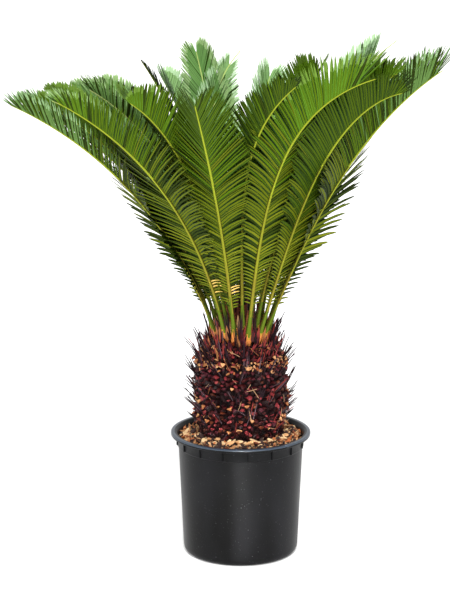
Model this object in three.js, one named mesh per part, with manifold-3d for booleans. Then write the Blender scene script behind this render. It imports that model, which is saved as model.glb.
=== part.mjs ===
// Sago palm (Cycas revoluta) growing in a round nursery container.
// Units are millimetres and +Z is up. The origin is the centre of the container's flat underside.
// Azimuths are degrees anticlockwise from +X, seen from above, so 270 is the front (-Y).

import * as THREE from 'three';
import { mergeVertices } from 'three/addons/utils/BufferGeometryUtils.js';
import Module from 'manifold-3d';

const wasm = await Module();
wasm.setup();

// ---- Driving dimensions: container -------------------------------------------------------------

const POT_HEIGHT = 400;
const POT_SEGMENTS = 48;
const POT_WALL = 4;
const POT_FLOOR = 5;
const FOOT_RADIUS = 165;          // flat underside
const CORNER = { radius: 179, height: 5 };          // middle of the rounded bottom corner
const BODY_FOOT = { radius: 186, height: 24 };      // tapering wall, where the corner ends
const BODY_TOP = { radius: 200.5, height: 352 };    // tapering wall, just under the ribbed band
const BAND_BOTTOM = { radius: 204, height: 355 };
const BAND_TOP = { radius: 205, height: 388 };      // underside of the lip
const LIP_RADIUS = 225;
const LIP_INNER_RADIUS = 207;
const LIP_ROUND = 4;
const RIB_COUNT = 16;
const RIB_RADIUS = 208;
const RIB_WIDTH = 6;
const RIB_FIRST_AZIMUTH = 276.4;

// ---- Driving dimensions: bark substrate --------------------------------------------------------

const CLEARANCE = 0.3;            // running gap between neighbouring solids
const SUBSTRATE_EDGE_HEIGHT = 379;
const SUBSTRATE_COLLAR_HEIGHT = 384;
const SUBSTRATE_CREST_RADIUS = 150;

// ---- Driving dimensions: trunk -----------------------------------------------------------------

const TRUNK_FOOT_HEIGHT = 330;    // flat cut of the stem, below the substrate's surface
const TRUNK_FOOT_RADIUS = 118;
const TRUNK_COLLAR_HEIGHT = 385;
const TRUNK_TOP_HEIGHT = 766;
const TRUNK_APEX_HEIGHT = 782;
// Radius of the stem between its leaf bases: a broad old tier up to a ledge, then a narrower one.
const TRUNK_HEIGHTS = [385, 400, 430, 510, 590, 645, 668, 725, 750, 766];
const TRUNK_RADII = [118, 126, 137, 145, 140, 134, 113, 100, 88, 70];
const SCALES_AROUND = 24;         // leaf bases in one turn
const SCALE_ROWS = 19;
const SCALE_OUT = 13;             // how far a leaf base stands out of the valleys round it
const SCALE_UP = 7;

const SPINE_WIDTH = 8;            // dry needle at the end of an old leaf base
const SPINE_SUNK = 8;
const SPINE_SCATTER = { height: 24, lean: 16, turn: 0.7, shortest: 0.7, longest: 1.2 };
const SPINE_SEED = 11;
const SPINE_RINGS = [
  { height: 430, count: 12, length: 26, lean: 35 },
  { height: 520, count: 14, length: 28, lean: 42 },
  { height: 600, count: 15, length: 32, lean: 50 },
  { height: 648, count: 20, length: 42, lean: 58 },
  { height: 700, count: 18, length: 50, lean: 66 },
];

// ---- Driving dimensions: fronds ----------------------------------------------------------------

const RINGS = {
  outer: { radius: 83, height: 715 },
  middle: { radius: 62, height: 735 },
  inner: { radius: 38, height: 750 },
};
const FOOT_GAP = 23;               // least distance between the feet of two neighbours in a ring
const SPREAD_PASSES = 200;
const FROND_DEFAULTS = { sweep: 0, bend: 1.5, roll: 0, fold: 0, crest: 1, bareTip: 0 };

// The fronds that shape the crown's outline. lift and tip are the elevation of the rib at its foot
// and at its tip, sweep turns the rib sideways, bend says how late it arches over, roll twists the
// blade, fold closes (+) or flattens (-) its V, crest scales the leaflets near its tip, and bareTip
// is the share of the rib's end that has lost its leaflets.
const SHAPED_FRONDS = [
  { ring: 'outer', azimuth: 257, lift: 69.5, tip: 30, length: 1060, sweep: 8, bend: 1.25 },
  {
    ring: 'outer', azimuth: 285, lift: 70.5, tip: 18, length: 1135, sweep: 42, bend: 2.1,
    crest: 1.2, bareTip: 0.05,
  },
  {
    ring: 'outer', azimuth: 235, lift: 74, tip: 27, length: 1115, sweep: -12, bend: 0.85,
    crest: 0.7,
  },
  {
    ring: 'outer', azimuth: 311, lift: 67.5, tip: 13, length: 1085, sweep: -4, bend: 2.75,
    crest: 0.9,
  },
  { ring: 'outer', azimuth: 202, lift: 70, tip: 26, length: 1035, sweep: 2, bend: 1.15, crest: 0.8 },
  { ring: 'outer', azimuth: 327, lift: 66, tip: 34, length: 1085, bend: 2, crest: 1.25, bareTip: 0.02 },
  { ring: 'outer', azimuth: 350, lift: 73, tip: 40, length: 980, crest: 1.3 },
  { ring: 'outer', azimuth: 20, lift: 72, tip: 34, length: 930, crest: 0.8 },
  {
    ring: 'middle', azimuth: 266.5, lift: 75, tip: 33.5, length: 1030, sweep: 44, bend: 1.2,
    crest: 0.7,
  },
  { ring: 'middle', azimuth: 241, lift: 68, tip: 23, length: 1035, sweep: 2, bend: 1.8, crest: 1.1 },
  { ring: 'middle', azimuth: 296, lift: 78, tip: 39, length: 1000, sweep: -3, crest: 1.05 },
  { ring: 'middle', azimuth: 231, lift: 74, tip: 29, length: 1030, sweep: -8, bend: 1.3, crest: 0.9 },
  { ring: 'middle', azimuth: 318, lift: 77, tip: 28, length: 1050, sweep: -2, crest: 0.9 },
  { ring: 'middle', azimuth: 206, lift: 73, tip: 24, length: 980, crest: 0.7 },
  {
    ring: 'middle', azimuth: 8, lift: 82, tip: 36, length: 1035, sweep: -4, bend: 1.7,
    crest: 0.8, bareTip: 0.1,
  },
  { ring: 'middle', azimuth: 31, lift: 74, tip: 38, length: 930 },
  { ring: 'middle', azimuth: 83, lift: 75, tip: 37, length: 885, sweep: -4, roll: 25, crest: 1.2 },
  { ring: 'middle', azimuth: 112, lift: 70, tip: 50, length: 945, sweep: -3, bend: 1.6, roll: -20 },
  {
    ring: 'inner', azimuth: 122, lift: 77, tip: 36, length: 980, sweep: -78, bend: 1.3, roll: 30,
    crest: 0.3, bareTip: 0.07,
  },
  { ring: 'middle', azimuth: 122, lift: 72, tip: 37, length: 900, roll: 20 },
  { ring: 'middle', azimuth: 129, lift: 75, tip: 38, length: 950, roll: 50, fold: -36, crest: 0.3 },
  { ring: 'middle', azimuth: 140, lift: 71, tip: 29, length: 930, crest: 0.8 },
  { ring: 'middle', azimuth: 155, lift: 73, tip: 28, length: 935, crest: 0.7 },
  { ring: 'middle', azimuth: 180, lift: 68, tip: 22, length: 970, crest: 0.9 },
];

// The older fronds on the far side hang lower the nearer they are to the middle of the back.
const BACK_FRONDS = { first: 38, step: 22, count: 8, length: 945, crest: 0.85 };
const BACK_LIFT = { middle: 58, side: 73 };         // elevations at the back and at the sides
const BACK_TIP = { middle: 4, side: 29 };

const TEETH = 22;                 // leaflet groups along each side of a rib
const LEAFLETS_FROM = 0.1;        // share of the rib that is bare petiole
const PETIOLE_STATIONS = [0, 0.05];
const SOCKET_STATIONS = [...PETIOLE_STATIONS, LEAFLETS_FROM];
const RIB_STEPS = 120;            // short straight steps that a rib's curve is worked out in
const ROLL_DONE = 2 / 3;          // share of the rib where its roll is complete
const TIP_SPIKE = 22;
const FULL_LENGTH = 1050;         // frond length that the leaflet lengths below belong to
const LEAFLET_AT = [0, 0.1, 0.2, 0.3, 0.4, 0.5, 0.6, 0.8, 0.92, 0.97, 1];
const LEAFLET_LENGTH = [12, 20, 50, 90, 127, 149, 157, 146, 125, 95, 45];
const ANGLE_AT = [0, 0.1, 0.2, 0.3, 0.45, 0.6, 0.8, 0.92, 0.97, 1];
const LEAFLET_ANGLE = [88, 80, 68, 62, 56, 50, 44, 38, 27, 10];   // from the rib, in degrees
const VEE_AT = [0, 0.3, 0.42, 0.55, 0.7, 0.85, 1];
const LEAFLET_VEE = [-22, -24, -12, 12, 34, 46, 48];              // raised above the blade, in degrees
const CREST_FROM = 0.5;           // share of the rib beyond which crest takes effect
const CREST_POWER = 1.5;
const RIB_AT = [0, 0.05, 0.1, 0.5, 1];
const RIB_HALF_WIDTH = [8, 6.5, 5.5, 4, 1.8];
const RIB_HALF_DEPTH = [7, 6, 4.5, 3.5, 1.6];

// A leaflet group that would touch a neighbour is turned a little, then shortened, then left out.
const LENGTH_STEPS = [1, 0.85, 0.7, 0.55, 0.4, 0.28];
const TURN_STEPS = [0, 12, -12, 24, -24];
const LEAF_CLEARANCE = 0.8;

// ---- Small helpers -----------------------------------------------------------------------------

const radians = THREE.MathUtils.degToRad;
const degrees = THREE.MathUtils.radToDeg;

/** Reads a value off a line through the points (xs, ys). */
function along(x, xs, ys) {
  let i = 1;
  while (i < xs.length - 1 && x > xs[i]) i += 1;
  const share = (x - xs[i - 1]) / (xs[i] - xs[i - 1]);
  return THREE.MathUtils.lerp(ys[i - 1], ys[i], THREE.MathUtils.clamp(share, 0, 1));
}

/** A point at a radius, an azimuth in degrees and a height. */
function polar(radius, azimuth, height) {
  const turn = radians(azimuth);
  return new THREE.Vector3(radius * Math.cos(turn), radius * Math.sin(turn), height);
}

/** Repeatable random numbers from 0 to 1. */
function randomSource(seed) {
  let state = seed;
  return () => {
    state = (state * 16807) % 2147483647;
    return state / 2147483647;
  };
}

/** A geometry from points and triangles of point numbers. */
function geometryOf(points, triangles) {
  const geometry = new THREE.BufferGeometry();
  geometry.setFromPoints(points);
  geometry.setIndex(triangles.flat());
  return geometry;
}

/** The manifold-3d solid of a closed geometry. */
function solidOf(geometry) {
  const bare = geometry.clone();
  bare.deleteAttribute('normal');
  bare.deleteAttribute('uv');
  const welded = mergeVertices(bare, 1e-3);
  const index = welded.index.array;
  const kept = [];
  for (let i = 0; i < index.length; i += 3) {
    const [a, b, c] = [index[i], index[i + 1], index[i + 2]];
    if (a !== b && b !== c && c !== a) kept.push(a, b, c);
  }
  return new wasm.Manifold(new wasm.Mesh({
    numProp: 3,
    vertProperties: new Float32Array(welded.attributes.position.array),
    triVerts: new Uint32Array(kept),
  }));
}

/** The geometry of a manifold-3d solid. */
function geometryFrom(solid) {
  const mesh = solid.getMesh();
  const geometry = new THREE.BufferGeometry();
  geometry.setAttribute('position', new THREE.BufferAttribute(new Float32Array(mesh.vertProperties), 3));
  geometry.setIndex([...mesh.triVerts]);
  return geometry;
}

/** A solid of revolution about Z from [radius, height] pairs that start and end on the axis. */
function revolved(profile) {
  const points = profile.map(([radius, height]) => new THREE.Vector2(radius, height));
  return new THREE.LatheGeometry(points, POT_SEGMENTS).rotateX(Math.PI / 2);
}

// ---- Container ---------------------------------------------------------------------------------

/** A point of the wall's outside, moved inwards and up. */
function inset({ radius, height }, inwards, up = 0) {
  return [radius - inwards, height + up];
}

function potShell() {
  return revolved([
    [0, 0],
    [FOOT_RADIUS, 0],
    inset(CORNER, 0),
    inset(BODY_FOOT, 0),
    inset(BODY_TOP, 0),
    inset(BAND_BOTTOM, 0),
    inset(BAND_TOP, 0),
    [LIP_RADIUS - LIP_ROUND, BAND_TOP.height],
    [LIP_RADIUS, BAND_TOP.height + LIP_ROUND],
    [LIP_RADIUS - LIP_ROUND / 4, POT_HEIGHT - LIP_ROUND / 2],
    [LIP_RADIUS - LIP_ROUND, POT_HEIGHT],
    [LIP_INNER_RADIUS, POT_HEIGHT],
    inset(BAND_TOP, POT_WALL + 1),
    inset(BODY_TOP, POT_WALL),
    inset(BODY_FOOT, POT_WALL),
    inset(CORNER, POT_WALL, POT_WALL),
    [FOOT_RADIUS - POT_WALL, POT_FLOOR],
    [0, POT_FLOOR],
  ]);
}

function potRib(azimuth) {
  const inner = BAND_BOTTOM.radius - POT_WALL / 2;
  const bottom = BAND_BOTTOM.height + 1;
  const top = BAND_TOP.height + 2;
  const rib = new THREE.BoxGeometry(RIB_RADIUS - inner, RIB_WIDTH, top - bottom);
  rib.translate((RIB_RADIUS + inner) / 2, 0, (top + bottom) / 2);
  return rib.rotateZ(radians(azimuth));
}

function potGeometry() {
  let pot = solidOf(potShell());
  for (let i = 0; i < RIB_COUNT; i += 1) {
    pot = pot.add(solidOf(potRib(RIB_FIRST_AZIMUTH + (i * 360) / RIB_COUNT)));
  }
  return geometryFrom(pot);
}

// ---- Bark substrate ----------------------------------------------------------------------------

/** The filling: it follows the container's inside and leaves a recess for the foot of the trunk. */
function substrateGeometry() {
  const facet = Math.cos(Math.PI / POT_SEGMENTS);
  const recess = (TRUNK_FOOT_RADIUS + CLEARANCE) / facet;
  const wall = POT_WALL + CLEARANCE;
  const edge = along(
    SUBSTRATE_EDGE_HEIGHT,
    [BODY_TOP.height, BAND_TOP.height],
    [BODY_TOP.radius - wall, BAND_TOP.radius - wall - 1],
  );
  return revolved([
    [0, POT_FLOOR + CLEARANCE],
    [FOOT_RADIUS - wall, POT_FLOOR + CLEARANCE],
    inset(CORNER, wall, POT_WALL + CLEARANCE),
    inset(BODY_FOOT, wall),
    inset(BODY_TOP, wall),
    [edge, SUBSTRATE_EDGE_HEIGHT],
    [SUBSTRATE_CREST_RADIUS, SUBSTRATE_COLLAR_HEIGHT],
    [recess, SUBSTRATE_COLLAR_HEIGHT],
    [recess, TRUNK_FOOT_HEIGHT - CLEARANCE],
    [0, TRUNK_FOOT_HEIGHT - CLEARANCE],
  ]);
}

// ---- Trunk -------------------------------------------------------------------------------------

/** The stem: rows of rhombic leaf bases, each drawn out to a blunt point that looks up. */
function trunkBody() {
  const points = [];
  const triangles = [];
  const put = (point) => points.push(point) - 1;
  const rowHeight = (TRUNK_TOP_HEIGHT - TRUNK_COLLAR_HEIGHT) / SCALE_ROWS;
  const step = 360 / SCALES_AROUND;
  const at = (row, column, out = 0, up = 0) => {
    const height = TRUNK_COLLAR_HEIGHT + row * rowHeight;
    const radius = along(height, TRUNK_HEIGHTS, TRUNK_RADII) + out;
    return polar(radius, (column + (row % 2) / 2) * step, height + up);
  };
  const rows = [];
  for (let row = 0; row <= SCALE_ROWS; row += 1) {
    rows.push([...Array(SCALES_AROUND).keys()].map((column) => put(at(row, column))));
  }
  const node = (row, column) => rows[row][(column + SCALES_AROUND) % SCALES_AROUND];
  // Above and below a scale between columns c and c + 1, the staggered rows meet at this column.
  const between = (row, column) => column + (row % 2);
  for (let row = 0; row <= SCALE_ROWS; row += 1) {
    for (let column = 0; column < SCALES_AROUND; column += 1) {
      const left = node(row, column);
      const right = node(row, column + 1);
      if (row === 0) {
        triangles.push([left, right, node(row + 1, between(row, column))]);
      } else if (row === SCALE_ROWS) {
        triangles.push([left, node(row - 1, between(row, column)), right]);
      } else {
        const top = node(row + 1, between(row, column));
        const bottom = node(row - 1, between(row, column));
        const peak = put(at(row, column + 0.5, SCALE_OUT, SCALE_UP));
        triangles.push([bottom, right, peak], [right, top, peak], [top, left, peak], [left, bottom, peak]);
      }
    }
  }
  const foot = [...Array(SCALES_AROUND).keys()].map((column) => (
    put(polar(TRUNK_FOOT_RADIUS, column * step, TRUNK_FOOT_HEIGHT))
  ));
  const footCentre = put(new THREE.Vector3(0, 0, TRUNK_FOOT_HEIGHT));
  const apex = put(new THREE.Vector3(0, 0, TRUNK_APEX_HEIGHT));
  for (let column = 0; column < SCALES_AROUND; column += 1) {
    const next = (column + 1) % SCALES_AROUND;
    triangles.push([foot[column], foot[next], node(0, next)], [foot[column], node(0, next), node(0, column)]);
    triangles.push([footCentre, foot[next], foot[column]]);
    triangles.push([apex, node(SCALE_ROWS, column), node(SCALE_ROWS, next)]);
  }
  return geometryOf(points, triangles);
}

/** One dry needle: a slim three-sided spike. */
function spine(azimuth, height, length, lean) {
  const surface = along(height, TRUNK_HEIGHTS, TRUNK_RADII);
  const spike = new THREE.ConeGeometry(SPINE_WIDTH / 2, length + SPINE_SUNK, 3);
  spike.translate(0, (length - SPINE_SUNK) / 2, 0);
  spike.rotateZ(radians(lean - 90));
  spike.rotateX(Math.PI / 2);
  spike.translate(surface, 0, height);
  return spike.rotateZ(radians(azimuth));
}

function trunkSpines() {
  const random = randomSource(SPINE_SEED);
  const scatter = SPINE_SCATTER;
  return SPINE_RINGS.flatMap(({ height, count, length, lean }) => (
    [...Array(count).keys()].map((i) => {
      const azimuth = ((i + scatter.turn * random()) * 360) / count;
      const raised = height + scatter.height * (random() - 0.5);
      const size = THREE.MathUtils.lerp(scatter.shortest, scatter.longest, random());
      return spine(azimuth, raised, length * size, lean + scatter.lean * (random() - 0.5));
    })
  ));
}

/** The trunk with its spines, and with a socket for the foot of every frond. */
function trunkGeometry(fronds) {
  let trunk = solidOf(trunkBody());
  for (const spike of trunkSpines()) trunk = trunk.add(solidOf(spike));
  for (const frond of fronds) trunk = trunk.subtract(solidOf(socketGeometry(frond)));
  const pieces = trunk.decompose();
  return geometryFrom(pieces.reduce((a, b) => (a.volume() > b.volume() ? a : b)));
}

// ---- Fronds: the rib ---------------------------------------------------------------------------

function backFronds() {
  return [...Array(BACK_FRONDS.count).keys()].map((i) => {
    const azimuth = BACK_FRONDS.first + i * BACK_FRONDS.step;
    const aside = Math.abs(Math.cos(radians(azimuth)));
    return {
      ring: 'outer',
      azimuth,
      lift: THREE.MathUtils.lerp(BACK_LIFT.middle, BACK_LIFT.side, aside),
      tip: THREE.MathUtils.lerp(BACK_TIP.middle, BACK_TIP.side, aside),
      length: BACK_FRONDS.length,
      crest: BACK_FRONDS.crest,
    };
  });
}

/** Gives each frond its foot's azimuth, with neighbours in a ring pushed apart where they crowd. */
function spreadFeet(fronds) {
  for (const [name, ring] of Object.entries(RINGS)) {
    const row = fronds.filter((frond) => frond.ring === name).sort((a, b) => a.azimuth - b.azimuth);
    const gap = degrees(FOOT_GAP / ring.radius);
    row.forEach((frond) => { frond.foot = frond.azimuth; });
    for (let pass = 0; pass < SPREAD_PASSES; pass += 1) {
      row.forEach((frond, i) => {
        const next = row[(i + 1) % row.length];
        const push = Math.max(0, gap - ((next.foot - frond.foot + 360) % 360)) / 2;
        frond.foot -= push;
        next.foot += push;
      });
    }
  }
}

/** The rib's direction (T), the blade's upper side (N) and its right-hand side (B) at a share u. */
function frame(frond, u) {
  const rise = radians(frond.lift + (frond.tip - frond.lift) * u ** frond.bend);
  const outward = polar(1, frond.azimuth + frond.sweep * u * u, 0);
  const T = outward.clone().multiplyScalar(Math.cos(rise)).setZ(Math.sin(rise));
  const N = outward.clone().multiplyScalar(-Math.sin(rise)).setZ(Math.cos(rise));
  const roll = radians(frond.roll * Math.min(1, u / ROLL_DONE));
  N.applyAxisAngle(T, roll);
  return { T, N, B: new THREE.Vector3().crossVectors(T, N) };
}

/** Points along the rib, found by stepping along its direction. */
function ribLine(frond) {
  const { radius, height } = RINGS[frond.ring];
  const point = polar(radius, frond.foot, height);
  const line = [point.clone()];
  for (let i = 0; i < RIB_STEPS; i += 1) {
    point.addScaledVector(frame(frond, (i + 0.5) / RIB_STEPS).T, frond.length / RIB_STEPS);
    line.push(point.clone());
  }
  return line;
}

function pointAt(line, u) {
  const place = THREE.MathUtils.clamp(u, 0, 1) * (line.length - 1);
  const i = Math.min(Math.floor(place), line.length - 2);
  return line[i].clone().lerp(line[i + 1], place - i);
}

/** Four corners of the rib's box section, anticlockwise seen from the tip. */
function section(frond, u, grow = 0) {
  const { N, B } = frame(frond, u);
  const width = along(u, RIB_AT, RIB_HALF_WIDTH) + grow;
  const depth = along(u, RIB_AT, RIB_HALF_DEPTH) + grow;
  const centre = pointAt(frond.line, u);
  return [[-1, -1], [1, -1], [1, 1], [-1, 1]].map(([n, b]) => (
    centre.clone().addScaledVector(N, n * depth).addScaledVector(B, b * width)
  ));
}

function stations() {
  const leafy = [...Array(TEETH + 1).keys()].map((i) => LEAFLETS_FROM + ((1 - LEAFLETS_FROM) * i) / TEETH);
  return [...PETIOLE_STATIONS, ...leafy];
}

/** The space that a frond's foot takes in the trunk, a clearance larger all round. */
function socketGeometry(frond) {
  const rings = SOCKET_STATIONS.map((u) => section(frond, u, CLEARANCE));
  const back = frame(frond, 0).T.multiplyScalar(-CLEARANCE);
  rings[0].forEach((corner) => corner.add(back));
  const points = rings.flat();
  const triangles = [[0, 3, 2], [0, 2, 1], [8, 9, 10], [8, 10, 11]];
  for (let ring = 0; ring < 2; ring += 1) {
    for (let side = 0; side < 4; side += 1) {
      const a = ring * 4 + side;
      const b = ring * 4 + ((side + 1) % 4);
      triangles.push([a, b, b + 4], [a, b + 4, a + 4]);
    }
  }
  return geometryOf(points, triangles);
}

// ---- Fronds: keeping the leaflets clear of each other ------------------------------------------

/** A convex piece with what the separation test needs: its corners, face normals and edges. */
function convex(corners, normals, edges) {
  const box = new THREE.Box3().setFromPoints(corners).expandByScalar(LEAF_CLEARANCE);
  return { corners, normals, edges, box };
}

const normalOf = (a, b, c) => b.clone().sub(a).cross(c.clone().sub(a)).normalize();
const edgeOf = (a, b) => b.clone().sub(a).normalize();

function ribPiece(from, to) {
  const normals = [0, 1, 2, 3].map((side) => normalOf(from[side], from[(side + 1) % 4], to[side]));
  normals.push(normalOf(from[0], from[1], from[2]), normalOf(to[0], to[1], to[2]));
  const edges = [edgeOf(from[0], to[0]), edgeOf(from[0], from[1]), edgeOf(from[1], from[2])];
  return convex([...from, ...to], normals, edges);
}

function toothPiece(base, tip) {
  const normals = base.map((corner, i) => normalOf(corner, base[(i + 1) % 4], tip));
  normals.push(normalOf(base[0], base[1], base[2]));
  const edges = [edgeOf(base[0], base[1]), edgeOf(base[1], base[2])];
  edges.push(...base.map((corner) => edgeOf(corner, tip)));
  return convex([...base, tip], normals, edges);
}

function reachAlong(corners, axis) {
  let low = Infinity;
  let high = -Infinity;
  for (const corner of corners) {
    const value = corner.dot(axis);
    if (value < low) low = value;
    if (value > high) high = value;
  }
  return [low, high];
}

function splits(axis, a, b) {
  const [lowA, highA] = reachAlong(a.corners, axis);
  const [lowB, highB] = reachAlong(b.corners, axis);
  return lowA - highB > LEAF_CLEARANCE || lowB - highA > LEAF_CLEARANCE;
}

/** Whether two convex pieces are a clearance apart, by the separating axis test. */
function apart(a, b) {
  if (!a.box.intersectsBox(b.box)) return true;
  if ([...a.normals, ...b.normals].some((axis) => splits(axis, a, b))) return true;
  const axis = new THREE.Vector3();
  return a.edges.some((edgeA) => b.edges.some((edgeB) => {
    axis.crossVectors(edgeA, edgeB);
    if (axis.lengthSq() < 1e-6) return false;
    return splits(axis.normalize(), a, b);
  }));
}

// ---- Fronds: the blade -------------------------------------------------------------------------

/** The share of the rib at the middle of a leaflet group. */
function groupPlace(frond, interval) {
  return (frond.stations[interval] + frond.stations[interval + 1]) / 2;
}

/** Where a leaflet group ends: its row leans forward along the rib and rises into the blade's V. */
function leafletTip(frond, interval, side, share, turn) {
  const u = groupPlace(frond, interval);
  const { T, N, B } = frame(frond, u);
  const forward = radians(along(u, ANGLE_AT, LEAFLET_ANGLE));
  const vee = radians(along(u, VEE_AT, LEAFLET_VEE) + frond.fold * u + turn);
  const tipward = THREE.MathUtils.clamp((u - CREST_FROM) / (1 - CREST_FROM), 0, 1) ** CREST_POWER;
  const crest = 1 + (frond.crest - 1) * tipward;
  const length = along(u, LEAFLET_AT, LEAFLET_LENGTH) * crest * (frond.length / FULL_LENGTH) * share;
  const out = B.multiplyScalar(side * Math.cos(vee)).addScaledVector(N, Math.sin(vee));
  return pointAt(frond.line, u)
    .addScaledVector(T, length * Math.cos(forward))
    .addScaledVector(out, length * Math.sin(forward));
}

/** The rib's side face that a leaflet group grows from. */
function leafletBase(frond, interval, side) {
  const [first, second] = side < 0 ? [0, 1] : [2, 3];
  const from = frond.rings[interval];
  const to = frond.rings[interval + 1];
  return [from[first], from[second], to[second], to[first]];
}

function prepare(frond) {
  frond.line = ribLine(frond);
  frond.stations = stations();
  frond.rings = frond.stations.map((u) => section(frond, u));
  frond.ribs = frond.rings.slice(1).map((ring, i) => ribPiece(frond.rings[i], ring));
  frond.teeth = [];
}

/** Gives each frond its leaflet groups, from the tips inwards, so that the outline is whole. */
function growLeaflets(fronds) {
  const first = PETIOLE_STATIONS.length;
  for (let interval = first + TEETH - 1; interval >= first; interval -= 1) {
    for (const frond of fronds) {
      const others = fronds.filter((other) => other !== frond);
      const near = others.flatMap((other) => [...other.ribs, ...other.teeth.map((tooth) => tooth.piece)]);
      if (groupPlace(frond, interval) > 1 - frond.bareTip) continue;
      for (const side of [-1, 1]) {
        const base = leafletBase(frond, interval, side);
        const tooth = placedTooth(frond, interval, side, base, near);
        if (tooth) frond.teeth.push(tooth);
      }
    }
  }
}

function placedTooth(frond, interval, side, base, near) {
  for (const share of LENGTH_STEPS) {
    for (const turn of TURN_STEPS) {
      const tip = leafletTip(frond, interval, side, share, turn);
      const piece = toothPiece(base, tip);
      if (near.every((other) => apart(piece, other))) return { interval, side, tip, piece };
    }
  }
  return null;
}

/** One closed blade: a tapering rib whose sides are drawn out into the leaflet groups. */
function frondGeometry(frond) {
  const points = frond.rings.flat();
  const last = (frond.rings.length - 1) * 4;
  const triangles = [[0, 3, 2], [0, 2, 1]];
  const toothAt = new Map(frond.teeth.map((tooth) => [`${tooth.interval}/${tooth.side}`, tooth]));
  for (let interval = 0; interval < frond.rings.length - 1; interval += 1) {
    for (let face = 0; face < 4; face += 1) {
      const a = interval * 4 + face;
      const b = interval * 4 + ((face + 1) % 4);
      const side = { 0: -1, 2: 1 }[face];
      const tooth = toothAt.get(`${interval}/${side}`);
      if (tooth) {
        const tip = points.push(tooth.tip) - 1;
        triangles.push([a, b, tip], [b, b + 4, tip], [b + 4, a + 4, tip], [a + 4, a, tip]);
      } else {
        triangles.push([a, b, b + 4], [a, b + 4, a + 4]);
      }
    }
  }
  const spike = points.push(pointAt(frond.line, 1).addScaledVector(frame(frond, 1).T, TIP_SPIKE)) - 1;
  for (let side = 0; side < 4; side += 1) triangles.push([last + side, last + ((side + 1) % 4), spike]);
  return geometryOf(points, triangles);
}

// ---- Assembly ----------------------------------------------------------------------------------

const potPlastic = new THREE.MeshStandardMaterial({ color: 0x14161a, roughness: 0.45, metalness: 0 });
const barkMix = new THREE.MeshStandardMaterial({ color: 0x9a6f46, roughness: 0.95, metalness: 0 });
const trunkScales = new THREE.MeshStandardMaterial({ color: 0x3d2320, roughness: 0.9, metalness: 0 });
const frondGreen = new THREE.MeshStandardMaterial({ color: 0x4f7a1e, roughness: 0.5, metalness: 0 });

function part(name, geometry, material) {
  const finish = material.clone();
  finish.flatShading = true;
  const mesh = new THREE.Mesh(geometry, finish);
  mesh.name = name;
  return mesh;
}

const fronds = [...SHAPED_FRONDS, ...backFronds()].map((choice) => ({ ...FROND_DEFAULTS, ...choice }));
spreadFeet(fronds);
fronds.forEach(prepare);
growLeaflets(fronds);

const palm = new THREE.Group();
palm.add(part('pot', potGeometry(), potPlastic));
palm.add(part('bark_substrate', substrateGeometry(), barkMix));
palm.add(part('trunk', trunkGeometry(fronds), trunkScales));
fronds.forEach((frond, i) => {
  palm.add(part(`frond_${String(i + 1).padStart(2, '0')}`, frondGeometry(frond), frondGreen));
});

export default palm;
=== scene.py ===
"""Sago palm (Cycas revoluta) in a round nursery pot: its looks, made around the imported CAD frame.

Units are metres and +Z is up. Azimuths are degrees anticlockwise from +X, seen from above, so 270 is
the plant's front (-Y). Every piece is one joined mesh that rides on the body "root".
"""
import math
from dataclasses import dataclass

import bpy
import numpy as np
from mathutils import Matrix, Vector


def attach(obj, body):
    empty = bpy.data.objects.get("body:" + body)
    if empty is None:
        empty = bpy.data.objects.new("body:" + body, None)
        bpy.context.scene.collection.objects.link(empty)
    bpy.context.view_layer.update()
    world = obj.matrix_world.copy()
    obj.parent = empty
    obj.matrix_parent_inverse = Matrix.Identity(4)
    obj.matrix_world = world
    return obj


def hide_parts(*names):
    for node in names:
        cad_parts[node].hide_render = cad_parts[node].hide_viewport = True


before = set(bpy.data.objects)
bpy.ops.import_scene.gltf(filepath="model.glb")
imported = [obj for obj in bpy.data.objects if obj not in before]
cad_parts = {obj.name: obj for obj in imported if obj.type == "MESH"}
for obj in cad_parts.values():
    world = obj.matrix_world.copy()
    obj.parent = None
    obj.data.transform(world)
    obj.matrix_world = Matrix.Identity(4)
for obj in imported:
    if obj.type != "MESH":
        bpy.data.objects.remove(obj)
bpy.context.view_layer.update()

BODY = "root"
UP = np.array([0.0, 0.0, 1.0])

# ---- Dimensions: pot (the CAD's own) ----

POT_HEIGHT = 0.400
POT_WALL = 0.004
POT_FLOOR = 0.005
FOOT_RADIUS = 0.165
BODY_FOOT = (0.186, 0.024)  # radius and height of the wall where the bottom corner ends
BODY_TOP = (0.2005, 0.352)
BAND_BOTTOM = (0.204, 0.355)  # the slightly wider band under the lip
BAND_TOP = (0.205, 0.388)
LIP_RADIUS = 0.225
LIP_INNER_RADIUS = 0.207
LIP_ROUND = 0.0045
LIP_SHEEN_RADIUS = 0.2135  # outside this the lip's top is painted a paler bluish grey: a painted sheen
RIB_COUNT = 16
RIB_RADIUS = 0.208
RIB_WIDTH = 0.006
RIB_FIRST_AZIMUTH = 276.4
POT_SEGMENTS = 192
INNER_SEGMENTS = 96  # of the bark's bed and the stem's core

# ---- Dimensions: bark substrate ----

SOIL_EDGE_RADIUS = 0.1995
SOIL_EDGE_HEIGHT = 0.379
SOIL_COLLAR_HEIGHT = 0.384
SOIL_CREST_RADIUS = 0.150
SOIL_INNER_RADIUS = 0.110
CHIP_REACH = 0.1975  # chips stay this near the axis, clear of the wall

# ---- Dimensions: trunk ----

TRUNK_HEIGHTS = [0.330, 0.385, 0.400, 0.430, 0.510, 0.590, 0.645, 0.668, 0.725, 0.750, 0.766, 0.782]
TRUNK_RADII = [0.118, 0.118, 0.126, 0.137, 0.145, 0.140, 0.134, 0.113, 0.100, 0.088, 0.070, 0.030]

# ---- Dimensions: crown (the CAD's own rule) ----

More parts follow.
